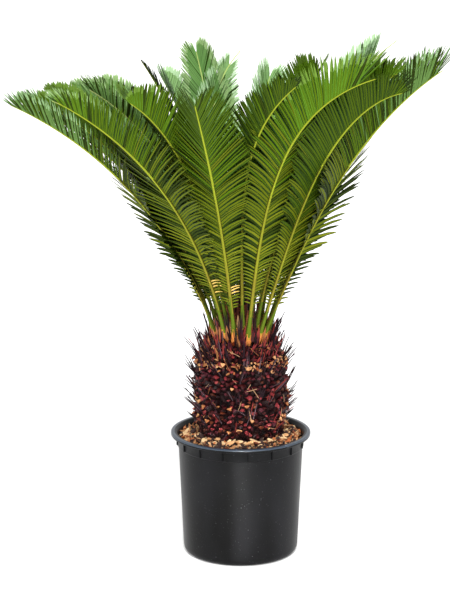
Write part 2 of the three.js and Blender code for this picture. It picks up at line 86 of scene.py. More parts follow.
# Radius and height of the feet in each ring of fronds.
RINGS = {"outer": (0.083, 0.715), "middle": (0.062, 0.735), "inner": (0.038, 0.750)}
FOOT_GAP = 0.023  # between neighbouring feet
SPREAD_PASSES = 200
RIB_STEPS = 120
ROLL_DONE = 2 / 3  # share of the rib where a blade's roll is complete
FULL_LENGTH = 1.050  # frond length that the leaflet lengths below belong to
LEAFLETS_FROM = 0.1  # share of the rib that is bare petiole
LEAFLET_AT = [0, 0.1, 0.2, 0.3, 0.4, 0.5, 0.6, 0.8, 0.92, 0.97, 1]
LEAFLET_LENGTH = [0.012, 0.020, 0.050, 0.090, 0.127, 0.149, 0.157, 0.146, 0.125, 0.095, 0.045]
ANGLE_AT = [0, 0.1, 0.2, 0.3, 0.45, 0.6, 0.8, 0.92, 0.97, 1]
LEAFLET_ANGLE = [82, 76, 68, 62, 56, 50, 44, 38, 27, 10]
VEE_AT = [0, 0.3, 0.42, 0.55, 0.7, 0.85, 1]
LEAFLET_VEE = [-22, -24, -12, 12, 34, 46, 48]
CREST_FROM = 0.5
CREST_POWER = 1.5
RIB_AT = [-0.02, 0, 0.02, 0.05, 0.1, 0.5, 1]
RIB_HALF_WIDTH = [0.0145, 0.0135, 0.0105, 0.0074, 0.0056, 0.0042, 0.0016]
RIB_HALF_DEPTH = [0.008, 0.008, 0.0075, 0.006, 0.0048, 0.0036, 0.0014]
LOWEST_LEAFLET = 0.12
LEAFLET_SPACING_AT = [0, 0.42, 0.6, 0.75, 1]
LEAFLET_SPACING = [0.0110, 0.0104, 0.0076, 0.0058, 0.0054]  # along one side of the rib
FIRST_HALF = 0.45  # share of the rib that counts as its lower half
HALVES_MEET = [FIRST_HALF, FIRST_HALF + 0.15]  # where the lower half's traits give way
LEAFLET_WIDTH_AT = [0, 0.2, 0.45, 0.65, 1]
LEAFLET_WIDTH = [0.0084, 0.0098, 0.0092, 0.0074, 0.0060]

# ---- Small helpers ----


def unit(vectors):
    return vectors / np.linalg.norm(vectors, axis=-1, keepdims=True)


def polar(radius, azimuth, height):
    """Points at radii, azimuths in degrees and heights."""
    turn = np.radians(azimuth)
    return np.stack(np.broadcast_arrays(radius * np.cos(turn), radius * np.sin(turn), height), axis=-1)


def mix(a, b, share):
    return a + (b - a) * share


def square_to(vectors, axis):
    """Unit vectors square to unit axes, on the side of the given ones."""
    return unit(vectors - axis * (vectors * axis).sum(-1, keepdims=True))


def rising(outward, angle):
    """Level unit vectors turned up by angles in degrees."""
    rise = np.radians(angle)[:, None]
    return outward * np.cos(rise) + UP * np.sin(rise)


def turned(vectors, axis, angle):
    """Vectors turned about unit axes by angles in radians."""
    cos, sin = np.cos(angle)[..., None], np.sin(angle)[..., None]
    along = (vectors * axis).sum(-1, keepdims=True)
    return vectors * cos + np.cross(axis, vectors) * sin + axis * along * (1 - cos)


def linear(red, green, blue):
    """The linear colour of an sRGB colour given as 0 to 255."""
    shares = np.array([red, green, blue]) / 255
    return tuple(np.where(shares <= 0.04045, shares / 12.92, ((shares + 0.055) / 1.055) ** 2.4))


class Heap:
    """Points and faces gathered for one joined mesh, each face with the number of its paint."""

    def __init__(self):
        self.points, self.corners, self.sizes, self.paints = [], [], [], []
        self.count = 0

    def add(self, points, faces, paints=0):
        """Adds copies of a shape: points (copies, points, 3), faces as arrays of point numbers, one for
        each number of corners, and paints for each copy or for each face."""
        copies, size = points.shape[:2]
        starts = self.count + size * np.arange(copies)[:, None, None]
        face_count = sum(len(group) for group in faces)
        paints = np.broadcast_to(np.asarray(paints).reshape(-1, 1) if np.ndim(paints) < 2 else paints,
                                 (copies, face_count))
        first = 0
        for group in faces:
            self.corners.append((starts + group[None]).ravel())
            self.sizes.append(np.full(copies * len(group), group.shape[1]))
            self.paints.append(paints[:, first:first + len(group)].ravel())
            first += len(group)
        self.points.append(points.reshape(-1, 3))
        self.count += copies * size


def make_piece(name, heap, materials, crease=None):
    """A heap as one piece of the object, in which edges sharper than crease degrees stay sharp."""
    mesh = bpy.data.meshes.new(name)
    points = np.concatenate(heap.points)
    corners = np.concatenate(heap.corners)
    sizes = np.concatenate(heap.sizes)
    mesh.vertices.add(len(points))
    mesh.vertices.foreach_set("co", points.astype(np.float32).ravel())
    mesh.loops.add(len(corners))
    mesh.loops.foreach_set("vertex_index", corners.astype(np.int32))
    mesh.polygons.add(len(sizes))
    mesh.polygons.foreach_set("loop_start", (np.cumsum(sizes) - sizes).astype(np.int32))
    mesh.polygons.foreach_set("material_index", np.concatenate(heap.paints).astype(np.int32))
    mesh.update(calc_edges=True)
    mesh.polygons.foreach_set("use_smooth", np.full(len(sizes), crease is not None))
    if crease is not None:
        mesh.set_sharp_from_angle(angle=math.radians(crease))
    for material in materials:
        mesh.materials.append(material)
    piece = bpy.data.objects.new(name, mesh)
    bpy.context.scene.collection.objects.link(piece)
    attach(piece, BODY)
    return piece


def loft_faces(rings, sides, pointed):
    """Faces of rings of points that run from a foot to an end: the walls, the foot, then the end."""
    ring, side = np.meshgrid(np.arange(rings - 1), np.arange(sides), indexing="ij")
    here = (ring * sides + side).ravel()
    after = (ring * sides + (side + 1) % sides).ravel()
    walls = np.stack([here, after, after + sides, here + sides], axis=1)
    foot = np.arange(sides)[::-1][None]
    last = (rings - 1) * sides + np.arange(sides)
    if not pointed:
        return [walls, foot, last[None]]
    tip = np.full(sides, rings * sides)
    return [walls, foot, np.stack([last, np.roll(last, -1), tip], axis=1)]


def loft(heap, spine, across, above, outline, pointed, paints=0):
    """Adds copies of a shape lofted along spines (copies, rings, 3), with half widths and half heights as
    vectors across and above. The outline, one for all or one for each copy, runs anticlockwise seen from
    the end."""
    rings, sides = across.shape[1], outline.shape[-2]
    x, y = np.moveaxis(outline.reshape(-1, 1, sides, 2), -1, 0)[..., None]
    points = spine[:, :rings, None] + across[:, :, None] * x + above[:, :, None] * y
    points = points.reshape(len(spine), -1, 3)
    if pointed:
        points = np.concatenate([points, spine[:, -1:]], axis=1)
    heap.add(points, loft_faces(rings, sides, pointed), paints)


def lathe(heap, profile, segments, paint=0):
    """Adds a closed solid of revolution from (radius, height) points that start and end on the axis.
    paint is one number, or one for each stretch between two points."""
    turn = np.linspace(0, 360, segments, endpoint=False)
    inner = np.array(profile[1:-1])
    points = polar(inner[:, 0, None], turn[None], inner[:, 1, None])
    ends = [np.array([0, 0, profile[0][1]]), np.array([0, 0, profile[-1][1]])]
    rings = len(inner)
    walls, _, _ = loft_faces(rings, segments, False)
    here = np.arange(segments)
    after = np.roll(here, -1)
    foot = np.stack([after, here, np.full(segments, rings * segments)], axis=1)
    last = (rings - 1) * segments
    top = np.stack([last + here, last + after, np.full(segments, rings * segments + 1)], axis=1)
    stretches = np.broadcast_to(paint, rings + 1)
    paints = np.repeat(np.concatenate([stretches[1:-1], stretches[[0, -1]]]), segments)
    points = np.concatenate([points.reshape(-1, 3), ends])
    heap.add(points[None], [walls, np.concatenate([foot, top])], paints[None])


def rounded(corner_before, corner, corner_after, steps):
    """Points of a curve that leaves one point, turns at the corner and reaches the other."""
    a, b, c = map(np.array, (corner_before, corner, corner_after))
    return [tuple((1 - t) ** 2 * a + 2 * t * (1 - t) * b + t * t * c) for t in np.linspace(0, 1, steps)]


# ---- Materials ----


def paint(name, colour, roughness, **sockets):
    """A plain finish: every value sits on the shader's own socket."""
    material = bpy.data.materials.new(name)
    material.use_nodes = True
    shader = material.node_tree.nodes["Principled BSDF"]
    shader.inputs["Base Color"].default_value = (*colour, 1)
    shader.inputs["Roughness"].default_value = roughness
    for socket, value in sockets.items():
        shader.inputs[socket.replace("_", " ")].default_value = value
    return material


def node(material, kind, **values):
    """A new shader node; values go to its properties, or to its inputs by name."""
    made = material.node_tree.nodes.new(kind)
    for key, value in values.items():
        if hasattr(made, key):
            setattr(made, key, value)
        else:
            made.inputs[key.replace("_", " ")].default_value = value
    return made


def link(source, output, target, socket):
    source.id_data.links.new(source.outputs[output], target.inputs[socket])


def noise(material, scale, detail=4.0, stretch=(1, 1, 1)):
    """A noise pattern in metres, stretched along the axes."""
    place = node(material, "ShaderNodeTexCoord")
    mapping = node(material, "ShaderNodeMapping", Scale=stretch)
    pattern = node(material, "ShaderNodeTexNoise", Scale=scale, Detail=detail)
    link(place, "Object", mapping, "Vector")
    link(mapping, "Vector", pattern, "Vector")
    return pattern


def add_relief(material, scale, depth, detail=4.0):
    """Small bumps, depth metres high, of about 1 / scale metres."""
    pattern = noise(material, scale, detail)
    bump = node(material, "ShaderNodeBump", Distance=depth, Strength=1.0)
    link(pattern, "Fac", bump, "Height")
    link(bump, "Normal", material.node_tree.nodes["Principled BSDF"], "Normal")
    return material


def ramp(material, source, stops):
    """A colour ramp over a noise's value; stops are (place, colour)."""
    made = node(material, "ShaderNodeValToRGB")
    for place, _ in stops[2:]:
        made.color_ramp.elements.new(place)
    for element, (place, colour) in zip(made.color_ramp.elements, stops):
        element.position = place
        element.color = (*colour, 1)
    link(source, "Fac", made, "Fac")
    return made


def pot_plastic():
    """Satin black plastic under thin dust, with paler specks and faint runs down the wall."""
    material = paint("pot_plastic", linear(16, 17, 20), 0.42, Specular_IOR_Level=0.1)
    shader = material.node_tree.nodes["Principled BSDF"]
    dust = noise(material, scale=9, detail=6, stretch=(1, 1, 0.35))
    base = ramp(material, dust, [(0.35, linear(5, 5, 5)), (0.70, linear(17, 17, 19))])
    specks = noise(material, scale=210, detail=2)
    marks = ramp(material, specks, [(0.69, (0, 0, 0)), (0.76, (1, 1, 1))])
    blend = node(material, "ShaderNodeMixRGB", Color2=(*linear(74, 76, 76), 1))
    link(marks, "Color", blend, "Fac")
    link(base, "Color", blend, "Color1")
    link(blend, "Color", shader, "Base Color")
    rough = node(material, "ShaderNodeMapRange", From_Min=0.3, From_Max=0.8, To_Min=0.30, To_Max=0.46)
    link(dust, "Fac", rough, "Value")
    link(rough, "Result", shader, "Roughness")
    return add_relief(material, scale=120, depth=0.00025, detail=5)


def grained(name, colour, roughness, scale=260, depth=0.0006, **sockets):
    """A plain paint with a fine grain."""
    return add_relief(paint(name, linear(*colour), roughness, **sockets), scale, depth)


# ---- Pot ----


WALL_PLASTIC, LIP_PAINTED_SHEEN, RIB_PAINTED_SHADE = range(3)


def inset(place, inwards, up=0.0):
    return (place[0] - inwards, place[1] + up)


def pot_profile():
    """The wall's section, from the middle of the underside round the lip to the middle of the floor."""
    lip_foot = (LIP_RADIUS, BAND_TOP[1])
    lip_top = (LIP_RADIUS, POT_HEIGHT)
    inner_top = (LIP_INNER_RADIUS, POT_HEIGHT)
    inner_band = inset(BAND_TOP, POT_WALL + 0.001)
    inner_foot = inset(BODY_FOOT, POT_WALL)
    inner_corner = inset(inner_foot, 0.002, POT_FLOOR - BODY_FOOT[1])
    corner = (BODY_FOOT[0] - 0.001, 0)
    step = (BAND_BOTTOM[0], BODY_TOP[1] + 0.001)
    return [
        (0, 0),
        *rounded((FOOT_RADIUS, 0), corner, BODY_FOOT, 9),
        (mix(BODY_FOOT[0], BODY_TOP[0], 0.5), mix(BODY_FOOT[1], BODY_TOP[1], 0.5)),
        *rounded(BODY_TOP, step, inset(BAND_BOTTOM, 0, 0.001), 4),
        inset(BAND_TOP, 0, -0.001),
        inset(BAND_TOP, -0.001),
        *rounded(inset(lip_foot, LIP_ROUND), lip_foot, inset(lip_foot, 0, LIP_ROUND), 5),
        *rounded(inset(lip_top, 0, -LIP_ROUND), lip_top, inset(lip_top, LIP_ROUND * 1.3), 6),
        (LIP_SHEEN_RADIUS, POT_HEIGHT),
        *rounded(inset(inner_top, -0.004), inner_top, inset(inner_top, 0.003, -0.006), 5),
        inner_band,
        inset(BODY_TOP, POT_WALL),
        *rounded(inner_foot, inner_corner, (FOOT_RADIUS, POT_FLOOR), 5),
        (0, POT_FLOOR),
    ]


def pot_ribs(heap):
    """Small upright ribs on the band, which brace the lip."""
    outline = np.array([(1, -1), (0.75, 0.8), (0.4, 1), (-0.4, 1), (-0.75, 0.8), (-1, -1)])
    azimuth = RIB_FIRST_AZIMUTH + np.arange(RIB_COUNT) * 360 / RIB_COUNT
    heights = np.array([BAND_BOTTOM[1] + 0.0005, BAND_BOTTOM[1] + 0.003, BAND_TOP[1] + 0.001])
    inner = BAND_BOTTOM[0] - POT_WALL / 2
    reach = (RIB_RADIUS - inner) / 2
    spine = polar(inner + reach, azimuth[:, None], heights)
    outward = polar(1, azimuth[:, None], 0 * heights)
    sideways = np.cross(outward, UP)
    depth = reach * np.array([0.6, 1, 1])[:, None]
    loft(heap, spine, sideways * RIB_WIDTH / 2, outward * depth, outline, False, RIB_PAINTED_SHADE)


def lip_painted_sheen():
    """The top of the lip, painted a paler bluish grey as a painted sheen, and glossier than the wall."""
    return grained("lip_painted_sheen", (44, 54, 66), 0.34, scale=90, depth=0.0003, Specular_IOR_Level=0.4)


def make_pot():
    heap = Heap()
    profile = pot_profile()
    # Faces on the lip's top outside LIP_SHEEN_RADIUS take the paler bluish paint: a painted sheen.
    on_painted_sheen = [height > POT_HEIGHT - LIP_ROUND and radius >= LIP_SHEEN_RADIUS for radius, height in profile]
    lathe(heap, profile, POT_SEGMENTS, np.where(on_painted_sheen[1:], LIP_PAINTED_SHEEN, WALL_PLASTIC))
    pot_ribs(heap)
    # The ribs are painted near black: painted shade, for the shadow under the lip and beside each rib.
    shaded = paint("rib_painted_shade", linear(10, 10, 11), 0.6, Specular_IOR_Level=0.05)
    pot = make_piece("nursery_pot", heap, [pot_plastic(), lip_painted_sheen(), shaded], crease=50)
    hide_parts("pot")


# ---- Bark substrate ----

CHIP_COLOURS = [
    (168, 118, 76), (180, 102, 52), (214, 180, 134),
    (46, 24, 19), (126, 64, 38), (200, 150, 102),
]
CHIP_SHARES = [0.19, 0.11, 0.20, 0.28, 0.09, 0.13]
DARK_CHIP = 3
DUST_COLOUR = (40, 25, 19)
CHIPS_FROM = 0.117  # radius of the trunk where the bark meets it
CHIPS_SUNK = 0.002
FALLEN_BASES = 90  # dark lumps that have dropped off the trunk, most of them in front
FALLEN_RADII = (0.140, 0.178)
FALLEN_AZIMUTH = (262, 32)  # middle and scatter
FALLEN_SIZES = (0.008, 0.013)
CURL_RINGS = 7
CURL_TURN = 3.2  # radians that a shaving of bend 1 turns from end to end
CURL_END = 0.35  # width of a shaving's ends, as a share of its middle's
CURL_OUTLINE = np.array([(0, 0.1), (-1, 0.4), (-0.9, -0.6), (0, -1), (0.9, -0.6), (1, 0.4)])
CHUNK_SIDES = 6
CHUNK_AT = np.array([-1, -0.55, 0.6, 1])[:, None]  # places of a lump's rings along it
CHUNK_GIRTHS = np.array([0.45, 1, 0.9, 0.4])[:, None]


def soil_height(radius):
    places = [SOIL_INNER_RADIUS, SOIL_CREST_RADIUS, SOIL_EDGE_RADIUS]
    return np.interp(radius, places, [SOIL_COLLAR_HEIGHT, SOIL_COLLAR_HEIGHT, SOIL_EDGE_HEIGHT])


def soil_bed(heap):
    """The dark filling under the chips, which reaches down the pot."""
    section = [(0, 0.010), (0.159, 0.010), (0.180, 0.030), (0.1955, 0.352),
               (0.1995, 0.373), (0.150, 0.380), (0.110, 0.380), (0, 0.364)]
    lathe(heap, section, INNER_SEGMENTS, len(CHIP_COLOURS))


def draw(rng, limits, count):
    """A random value for each copy, shaped to scale its rings of vectors."""
    return rng.uniform(*limits, count)[:, None, None]


def random_frames(rng, count, tilt):
    """Directions along and above loose flat things that lie tilted by about tilt degrees."""
    along = polar(1, rng.uniform(0, 360, count), 0)
    aside = np.cross(UP, along)
    above = turned(np.tile(UP, (count, 1)), aside, np.radians(rng.normal(0, tilt, count)))
    above = turned(above, along, np.radians(rng.normal(0, tilt, count)))
    return square_to(along, above), above


def curls(heap, rng, middles, along, above, paints, lengths=(0.012, 0.036)):
    """Thin shavings, bent along their length."""
    count = len(middles)
    length = draw(rng, lengths, count)
    bend = rng.uniform(-0.25, 0.9, count)[:, None]
    t = np.linspace(-0.5, 0.5, CURL_RINGS)[None]
    angle = bend * t * CURL_TURN
    aside = np.cross(above, along)[:, None]
    step = along[:, None] * np.cos(angle)[..., None] + above[:, None] * np.sin(angle)[..., None]
    spine = np.cumsum(step, axis=1) * length / CURL_RINGS
    spine += middles[:, None] - spine.mean(1, keepdims=True)
    taper = mix(CURL_END, 1, np.sqrt(np.clip(1 - (2 * t) ** 2, 0, 1)))[..., None]
    width = draw(rng, (0.0028, 0.0075), count) * taper
    normal = np.cross(step, aside)
    loft(heap, spine, aside * width, normal * 0.0011, CURL_OUTLINE, False, paints)


def chunks(heap, rng, middles, along, above, paints, sizes=(0.004, 0.011)):
    """Broken pieces of bark: irregular six-sided lumps."""
    count = len(middles)
    turn = np.radians(np.arange(CHUNK_SIDES) * 360 / CHUNK_SIDES)
    outline = np.stack([np.cos(turn), np.sin(turn)], axis=1)
    size = draw(rng, sizes, count)
    spine = middles[:, None] + along[:, None] * (size * CHUNK_AT * draw(rng, (0.9, 1.7), count))
    wide = draw(rng, (0.55, 0.95), count)
    flat = draw(rng, (0.3, 0.6), count)
    wobble = 1 + rng.normal(0, 0.16, (count, len(CHUNK_AT), 1))
    aside = np.cross(above, along)
    loft(heap, spine, aside[:, None] * size * CHUNK_GIRTHS * wide * wobble,
         above[:, None] * size * CHUNK_GIRTHS * flat, outline, False, paints)


def loose_chips(heap, rng):
    """Broken bark and shavings over the bed, in layers."""
    for shape, count, lift, tilt, outer in [
        (chunks, 760, 0.003, 25, 0.197), (curls, 700, 0.010, 34, 0.197), (chunks, 340, 0.020, 35, 0.160),
    ]:
        along, above = random_frames(rng, count, tilt)
        paints = rng.choice(len(CHIP_COLOURS), count, p=CHIP_SHARES)
        radius = np.sqrt(rng.uniform(CHIPS_FROM ** 2, outer ** 2, count))
        azimuth = rng.uniform(0, 360, count)
        middles = polar(radius, azimuth, soil_height(radius) + rng.uniform(-CHIPS_SUNK, lift, count))
        shape(heap, rng, middles, along, above, paints)


def fallen_bases(heap, rng):
    along, above = random_frames(rng, FALLEN_BASES, tilt=25)
    radius = rng.uniform(*FALLEN_RADII, FALLEN_BASES)
    height = soil_height(radius) + rng.uniform(0, 0.006, FALLEN_BASES)
    middles = polar(radius, rng.normal(*FALLEN_AZIMUTH, FALLEN_BASES), height)
    chunks(heap, rng, middles, along, above, DARK_CHIP, FALLEN_SIZES)


def keep_inside(heap, radius):
    """Moves every point that lies beyond a radius back to it."""
    for points in heap.points:
        reach = np.linalg.norm(points[:, :2], axis=1, keepdims=True)
        points[:, :2] *= np.minimum(1, radius / np.maximum(reach, radius / 2))


def make_substrate():
    rng = np.random.default_rng(21)
    heap = Heap()
    loose_chips(heap, rng)
    fallen_bases(heap, rng)
    keep_inside(heap, CHIP_REACH)
    soil_bed(heap)
    paints = [grained(f"bark_chip_{i + 1}", colour, 0.85) for i, colour in enumerate(CHIP_COLOURS)]
    paints.append(grained("bark_dust", DUST_COLOUR, 0.95))
    soil = make_piece("bark_chips", heap, paints, crease=35)
    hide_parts("bark_substrate")


# ---- Trunk ----

# Old leaf bases, dealt out one by one: dark sides, paler ends, and the pale flesh of cut ones. The pinkish
# end paints, dealt among the upper scales too, are partly the bases' own colour and partly painted
# highlights.
STEM_COLOURS = {
    "stem_shade": (9, 4, 4), "base_maroon": (56, 15, 16), "base_purple": (66, 22, 30),
    "base_brown": (66, 30, 20), "base_dark": (24, 8, 9), "end_pink": (126, 52, 52),
    "end_plum": (114, 38, 42), "end_brown": (92, 42, 26), "cut_cream": (188, 138, 94),
    "cut_orange": (146, 78, 46), "cut_tan": (150, 98, 60), "scale_red": (120, 44, 40),
    "wool_tan": (140, 88, 54), "wool_pale": (196, 150, 102), "needle_grey": (84, 66, 72),
    "needle_dark": (42, 26, 32), "fibre_pale": (176, 138, 104),
}
STEM_PAINT = {name: number for number, name in enumerate(STEM_COLOURS)}
# Paints and their shares, or plain lists where each is as likely.
SIDE_PAINTS = {"base_maroon": 0.32, "base_purple": 0.26, "base_brown": 0.1, "base_dark": 0.32}
END_PAINTS = {
    "end_pink": 0.16, "end_plum": 0.24, "end_brown": 0.08, "base_purple": 0.26, "base_maroon": 0.26,
}
CUT_PAINTS = {"cut_cream": 0.5, "cut_orange": 0.15, "cut_tan": 0.35}
RIM_PAINTS = ["cut_orange", "cut_tan", "end_brown"]
SCALE_PAINTS = {
    "base_maroon": 0.18, "base_purple": 0.12, "base_dark": 0.32, "scale_red": 0.18, "end_plum": 0.08,
    "end_pink": 0.07, "cut_tan": 0.05,
}
NEEDLE_PAINTS = {"needle_grey": 0.14, "needle_dark": 0.36, "base_dark": 0.42, "scale_red": 0.08}
SCRAP_PAINTS = {"cut_cream": 0.4, "cut_orange": 0.15, "cut_tan": 0.3, "scale_red": 0.15}
FIBRE_PAINTS = ["fibre_pale", "wool_tan", "needle_grey"]

CORE_INSET = 0.004
CORE_HEIGHTS = [0.335, 0.40, 0.43, 0.47, 0.51, 0.55, 0.59, 0.62, 0.645, 0.668]
CORE_NECK = [(0.096, 0.690), (0.078, 0.706), (0.066, 0.730), (0.048, 0.755), (0.024, 0.772), (0, 0.778)]

BASES_AROUND = 36
BASES_PITCH = 0.0101  # from row to row
BASES_FROM = 0.386
BASES_TO = 0.700  # above this the stem has only narrow scales
BASE_LENGTHS = (0.013, 0.029)
BASE_HALF_HEIGHT = 0.0094
BASE_SEAT = 0.010  # how deep a leaf base stands in the stem
BASE_SWAY = 0.0042  # how far its end strays
BEVEL_SHARE = 0.45  # share of the leaf bases whose end has a paint of its own, often a pinkish one that is partly a painted highlight
CUT_RINGS = [(0.424, 0.28), (0.458, 0.30), (0.506, 0.50), (0.640, 0.50)]  # height and share cut there
CUT_RING_HALF_HEIGHT = 0.0062
CUT_ELSEWHERE = 0.015
CUT_LENGTH = 0.026
CUT_SCALE = 0.8
# Both kinds of leaf base: outline, scatter of its corners, places of the rings along it, and girths.
DRY_BASE = (
    [(1, 0.1), (0.62, 0.66), (0, 0.9), (-0.62, 0.66), (-1, 0.1), (-0.55, -0.6), (0, -1), (0.55, -0.6)],
    0.22, [0, 0.45, 0.78, 1], [1, 1, 0.72, 0.18],
)
CUT_BASE = (
    [(1, 0.45), (0.55, 0.72), (0, 0.62), (-0.55, 0.72), (-1, 0.45), (-0.5, -0.4), (0, -1.1), (0.5, -0.4)],
    0.07, [0, 0.55, 0.9, 1], [0.9, 0.96, 1, 0.84],
)

BLADE_OUTLINE = np.array([(1, -0.5), (0, 1), (-1, -0.5), (0, -0.1)])
BLADE_SHAPE = ((0, 0.3, 0.65), (1, 1, 0.6))  # places of a blade's rings along it, and their girths
NEEDLE_SHAPE = ((0, 0.4, 0.8), (1, 1, 0.75))
FIBRE_SHAPE = ((0, 0.25, 0.5, 0.75), (1, 1, 0.9, 0.7))
FEET_FROM = 0.690  # height from which the feet of the outer fronds are in the way
FEET_WITHIN = 0.08  # radius of the room between those feet
SCALES_AROUND = 60
NEEDLES_EACH = 5
FIBRES = 130


def stem_paints(rng, names, count):
    """Random paints from a list of names, or from a dictionary of names and shares."""
    shares = list(names.values()) if isinstance(names, dict) else None
    return np.array([STEM_PAINT[name] for name in names])[rng.choice(len(names), count, p=shares)]


def stem_radius(height):
    return np.interp(height, TRUNK_HEIGHTS, TRUNK_RADII)


def stem_core(heap):
    """A near-black core, painted shade, in the gaps between the leaf bases. It narrows above the ledge,
    under the fronds.
    """
    walls = [(stem_radius(height) - CORE_INSET, height) for height in CORE_HEIGHTS]
    lathe(heap, [(0, CORE_HEIGHTS[0]), *walls, *CORE_NECK], INNER_SEGMENTS, STEM_PAINT["stem_shade"])


def staggered(rng, rows, around, scatter):
    """Row numbers and azimuths in staggered rows, scattered by a share of the distance in a row."""
    row, column = np.divmod(np.arange(rows * around), around)
    return row, (column + 0.5 * (row % 2) + rng.normal(0, scatter, len(row))) * 360 / around


def ringed(rng, count, scatter):
    """Azimuths all round, each moved by up to a share of the distance between them."""
    return (np.arange(count) + rng.uniform(-scatter, scatter, count)) * 360 / count


def near_feet(azimuth, feet, width):
    """Which azimuths lie within width degrees of a foot."""
    return np.abs((azimuth[:, None] - feet + 180) % 360 - 180).min(1) < width


def which_cut(rng, height):
    """Which leaf bases were cut: many of them in a few rings round the stem."""
    share = np.full(len(height), CUT_ELSEWHERE)
    for level, chance in CUT_RINGS:
        share = np.where(np.abs(height - level) < CUT_RING_HALF_HEIGHT, chance, share)
    return rng.random(len(height)) < share


def base_frames(rng, azimuth):
    """Directions along, aside and above leaf bases, which point up and out."""
    count = len(azimuth)
    axis = rising(polar(1, azimuth, 0), rng.normal(38, 9, count))
    aside = unit(np.cross(UP, axis) + axis * rng.normal(0, 0.16, count)[:, None])
    above = np.cross(axis, aside)
    roll = np.radians(rng.normal(0, 12, count))
    return axis, turned(aside, axis, roll), turned(above, axis, roll)


def base_paints(sides, bevels, ends):
    """Paints of whole leaf bases: walls with painted shade on their lower half, then the bevel, the foot
    and the end.
    """
    stretches, around = 3, 8
    walls = np.tile(sides[:, None, None], (1, stretches, around))
    walls[:, -1] = bevels[:, None]
    # The lower half of the walls takes base_dark: painted shade under each leaf base.
    walls[:, :-1, around // 2:] = STEM_PAINT["base_dark"]
    return np.concatenate([walls.reshape(len(sides), -1), sides[:, None], ends[:, None]], axis=1)


def loft_bases(heap, rng, kind, forms, paints):
    """Adds leaf bases of one kind."""
    outline, scatter, places, girths = kind
    foot, axis, aside, above, length, half_width, half_height = forms
    count = len(foot)
    t, girth = np.array(places), np.array(girths)
    sway = above * rng.normal(0.2, 1, (count, 1)) + aside * rng.normal(0, 1, (count, 1))
    sway = sway[:, None] * (t ** 2 * BASE_SWAY)[:, None]
    spine = foot[:, None] + axis[:, None] * (length[:, None] * t)[..., None] + sway
    outlines = np.array(outline) * (1 + rng.normal(0, scatter, (count, len(outline), 1)))
    loft(heap, spine, aside[:, None] * (half_width[:, None] * girth)[..., None],
         above[:, None] * (half_height[:, None] * girth)[..., None], outlines, False, paints)


def leaf_bases(heap):
    """Blunt broken stubs of old leaves in staggered rows, from the bark to above the ledge."""
    rng = np.random.default_rng(31)
    row, azimuth = staggered(rng, int((BASES_TO - BASES_FROM) / BASES_PITCH), BASES_AROUND, 0.10)
    count = len(row)
    height = BASES_FROM + row * BASES_PITCH + rng.normal(0, 0.0018, count)
    axis, aside, above = base_frames(rng, azimuth)
    cut = which_cut(rng, height)
    length = np.where(cut, CUT_LENGTH, rng.uniform(*BASE_LENGTHS, count))
    foot = polar(stem_radius(height) - BASE_SEAT, azimuth, height - BASE_SEAT / 2)
    scale = np.where(cut, CUT_SCALE, 1)
    half_width = stem_radius(height) * math.pi / BASES_AROUND * rng.uniform(0.68, 1.18, count) * scale
    half_height = BASE_HALF_HEIGHT * rng.uniform(0.65, 1.2, count) * scale
    sides = stem_paints(rng, SIDE_PAINTS, count)
    ends = np.where(rng.random(count) < BEVEL_SHARE, stem_paints(rng, END_PAINTS, count), sides)
    flesh = stem_paints(rng, CUT_PAINTS, count)
    rims = stem_paints(rng, RIM_PAINTS, count)
    forms = (foot, axis, aside, above, length, half_width, half_height)
    for which, kind, bevels, tips in [(~cut, DRY_BASE, ends, ends), (cut, CUT_BASE, rims, flesh)]:
        paints = base_paints(sides[which], bevels[which], tips[which])
        loft_bases(heap, rng, kind, [values[which] for values in forms], paints)


def blades(heap, foot, axis, above, length, width, thickness, paints, curl=0.0, shape=BLADE_SHAPE):
    """Pointed scales: thin blades that taper to a point and curl back by a share of their length."""
    places, girths = map(np.array, shape)
    t = np.append(places, 1.0)
    aside = unit(np.cross(above, axis))
    curve = (np.asarray(curl) * np.ones(len(foot)))[:, None] * t ** 2
    spine = foot[:, None] + length[:, None, None] * (
        axis[:, None] * t[:, None] + above[:, None] * curve[..., None])
    across = aside[:, None] * (width[:, None] * girths)[..., None] / 2
    over = np.repeat((above * thickness)[:, None], len(places), axis=1)
    loft(heap, spine, across, over, BLADE_OUTLINE, True, paints)


def cataphylls(heap, feet):
    """The upper tier's narrow pointed scales, in steep overlapping rows."""
    rng = np.random.default_rng(41)
    heights = np.array([0.651, 0.667, 0.677, 0.687, 0.697, 0.707, 0.717, 0.727])
    radii = np.array([0.121, 0.113, 0.109, 0.106, 0.103, 0.100, 0.096, 0.091])
    row, azimuth = staggered(rng, len(heights), SCALES_AROUND, 0.2)
    kept = (heights[row] < FEET_FROM) | ~near_feet(azimuth, feet, 7)
    row, azimuth = row[kept], azimuth[kept]
    count = len(row)
    height = heights[row] + rng.normal(0, 0.003, count)
    outward = polar(1, azimuth, 0)
    axis = unit(rising(outward, rng.normal(77, 7, count)))
    axis = turned(axis, outward, np.radians(rng.normal(0, 9, count)))
    paints = stem_paints(rng, SCALE_PAINTS, count)
    blades(heap, polar(radii[row], azimuth, height), axis, square_to(outward, axis),
           rng.uniform(0.020, 0.044, count), rng.uniform(0.0055, 0.0110, count), 0.0022, paints,
           rng.uniform(-0.05, 0.16, count))


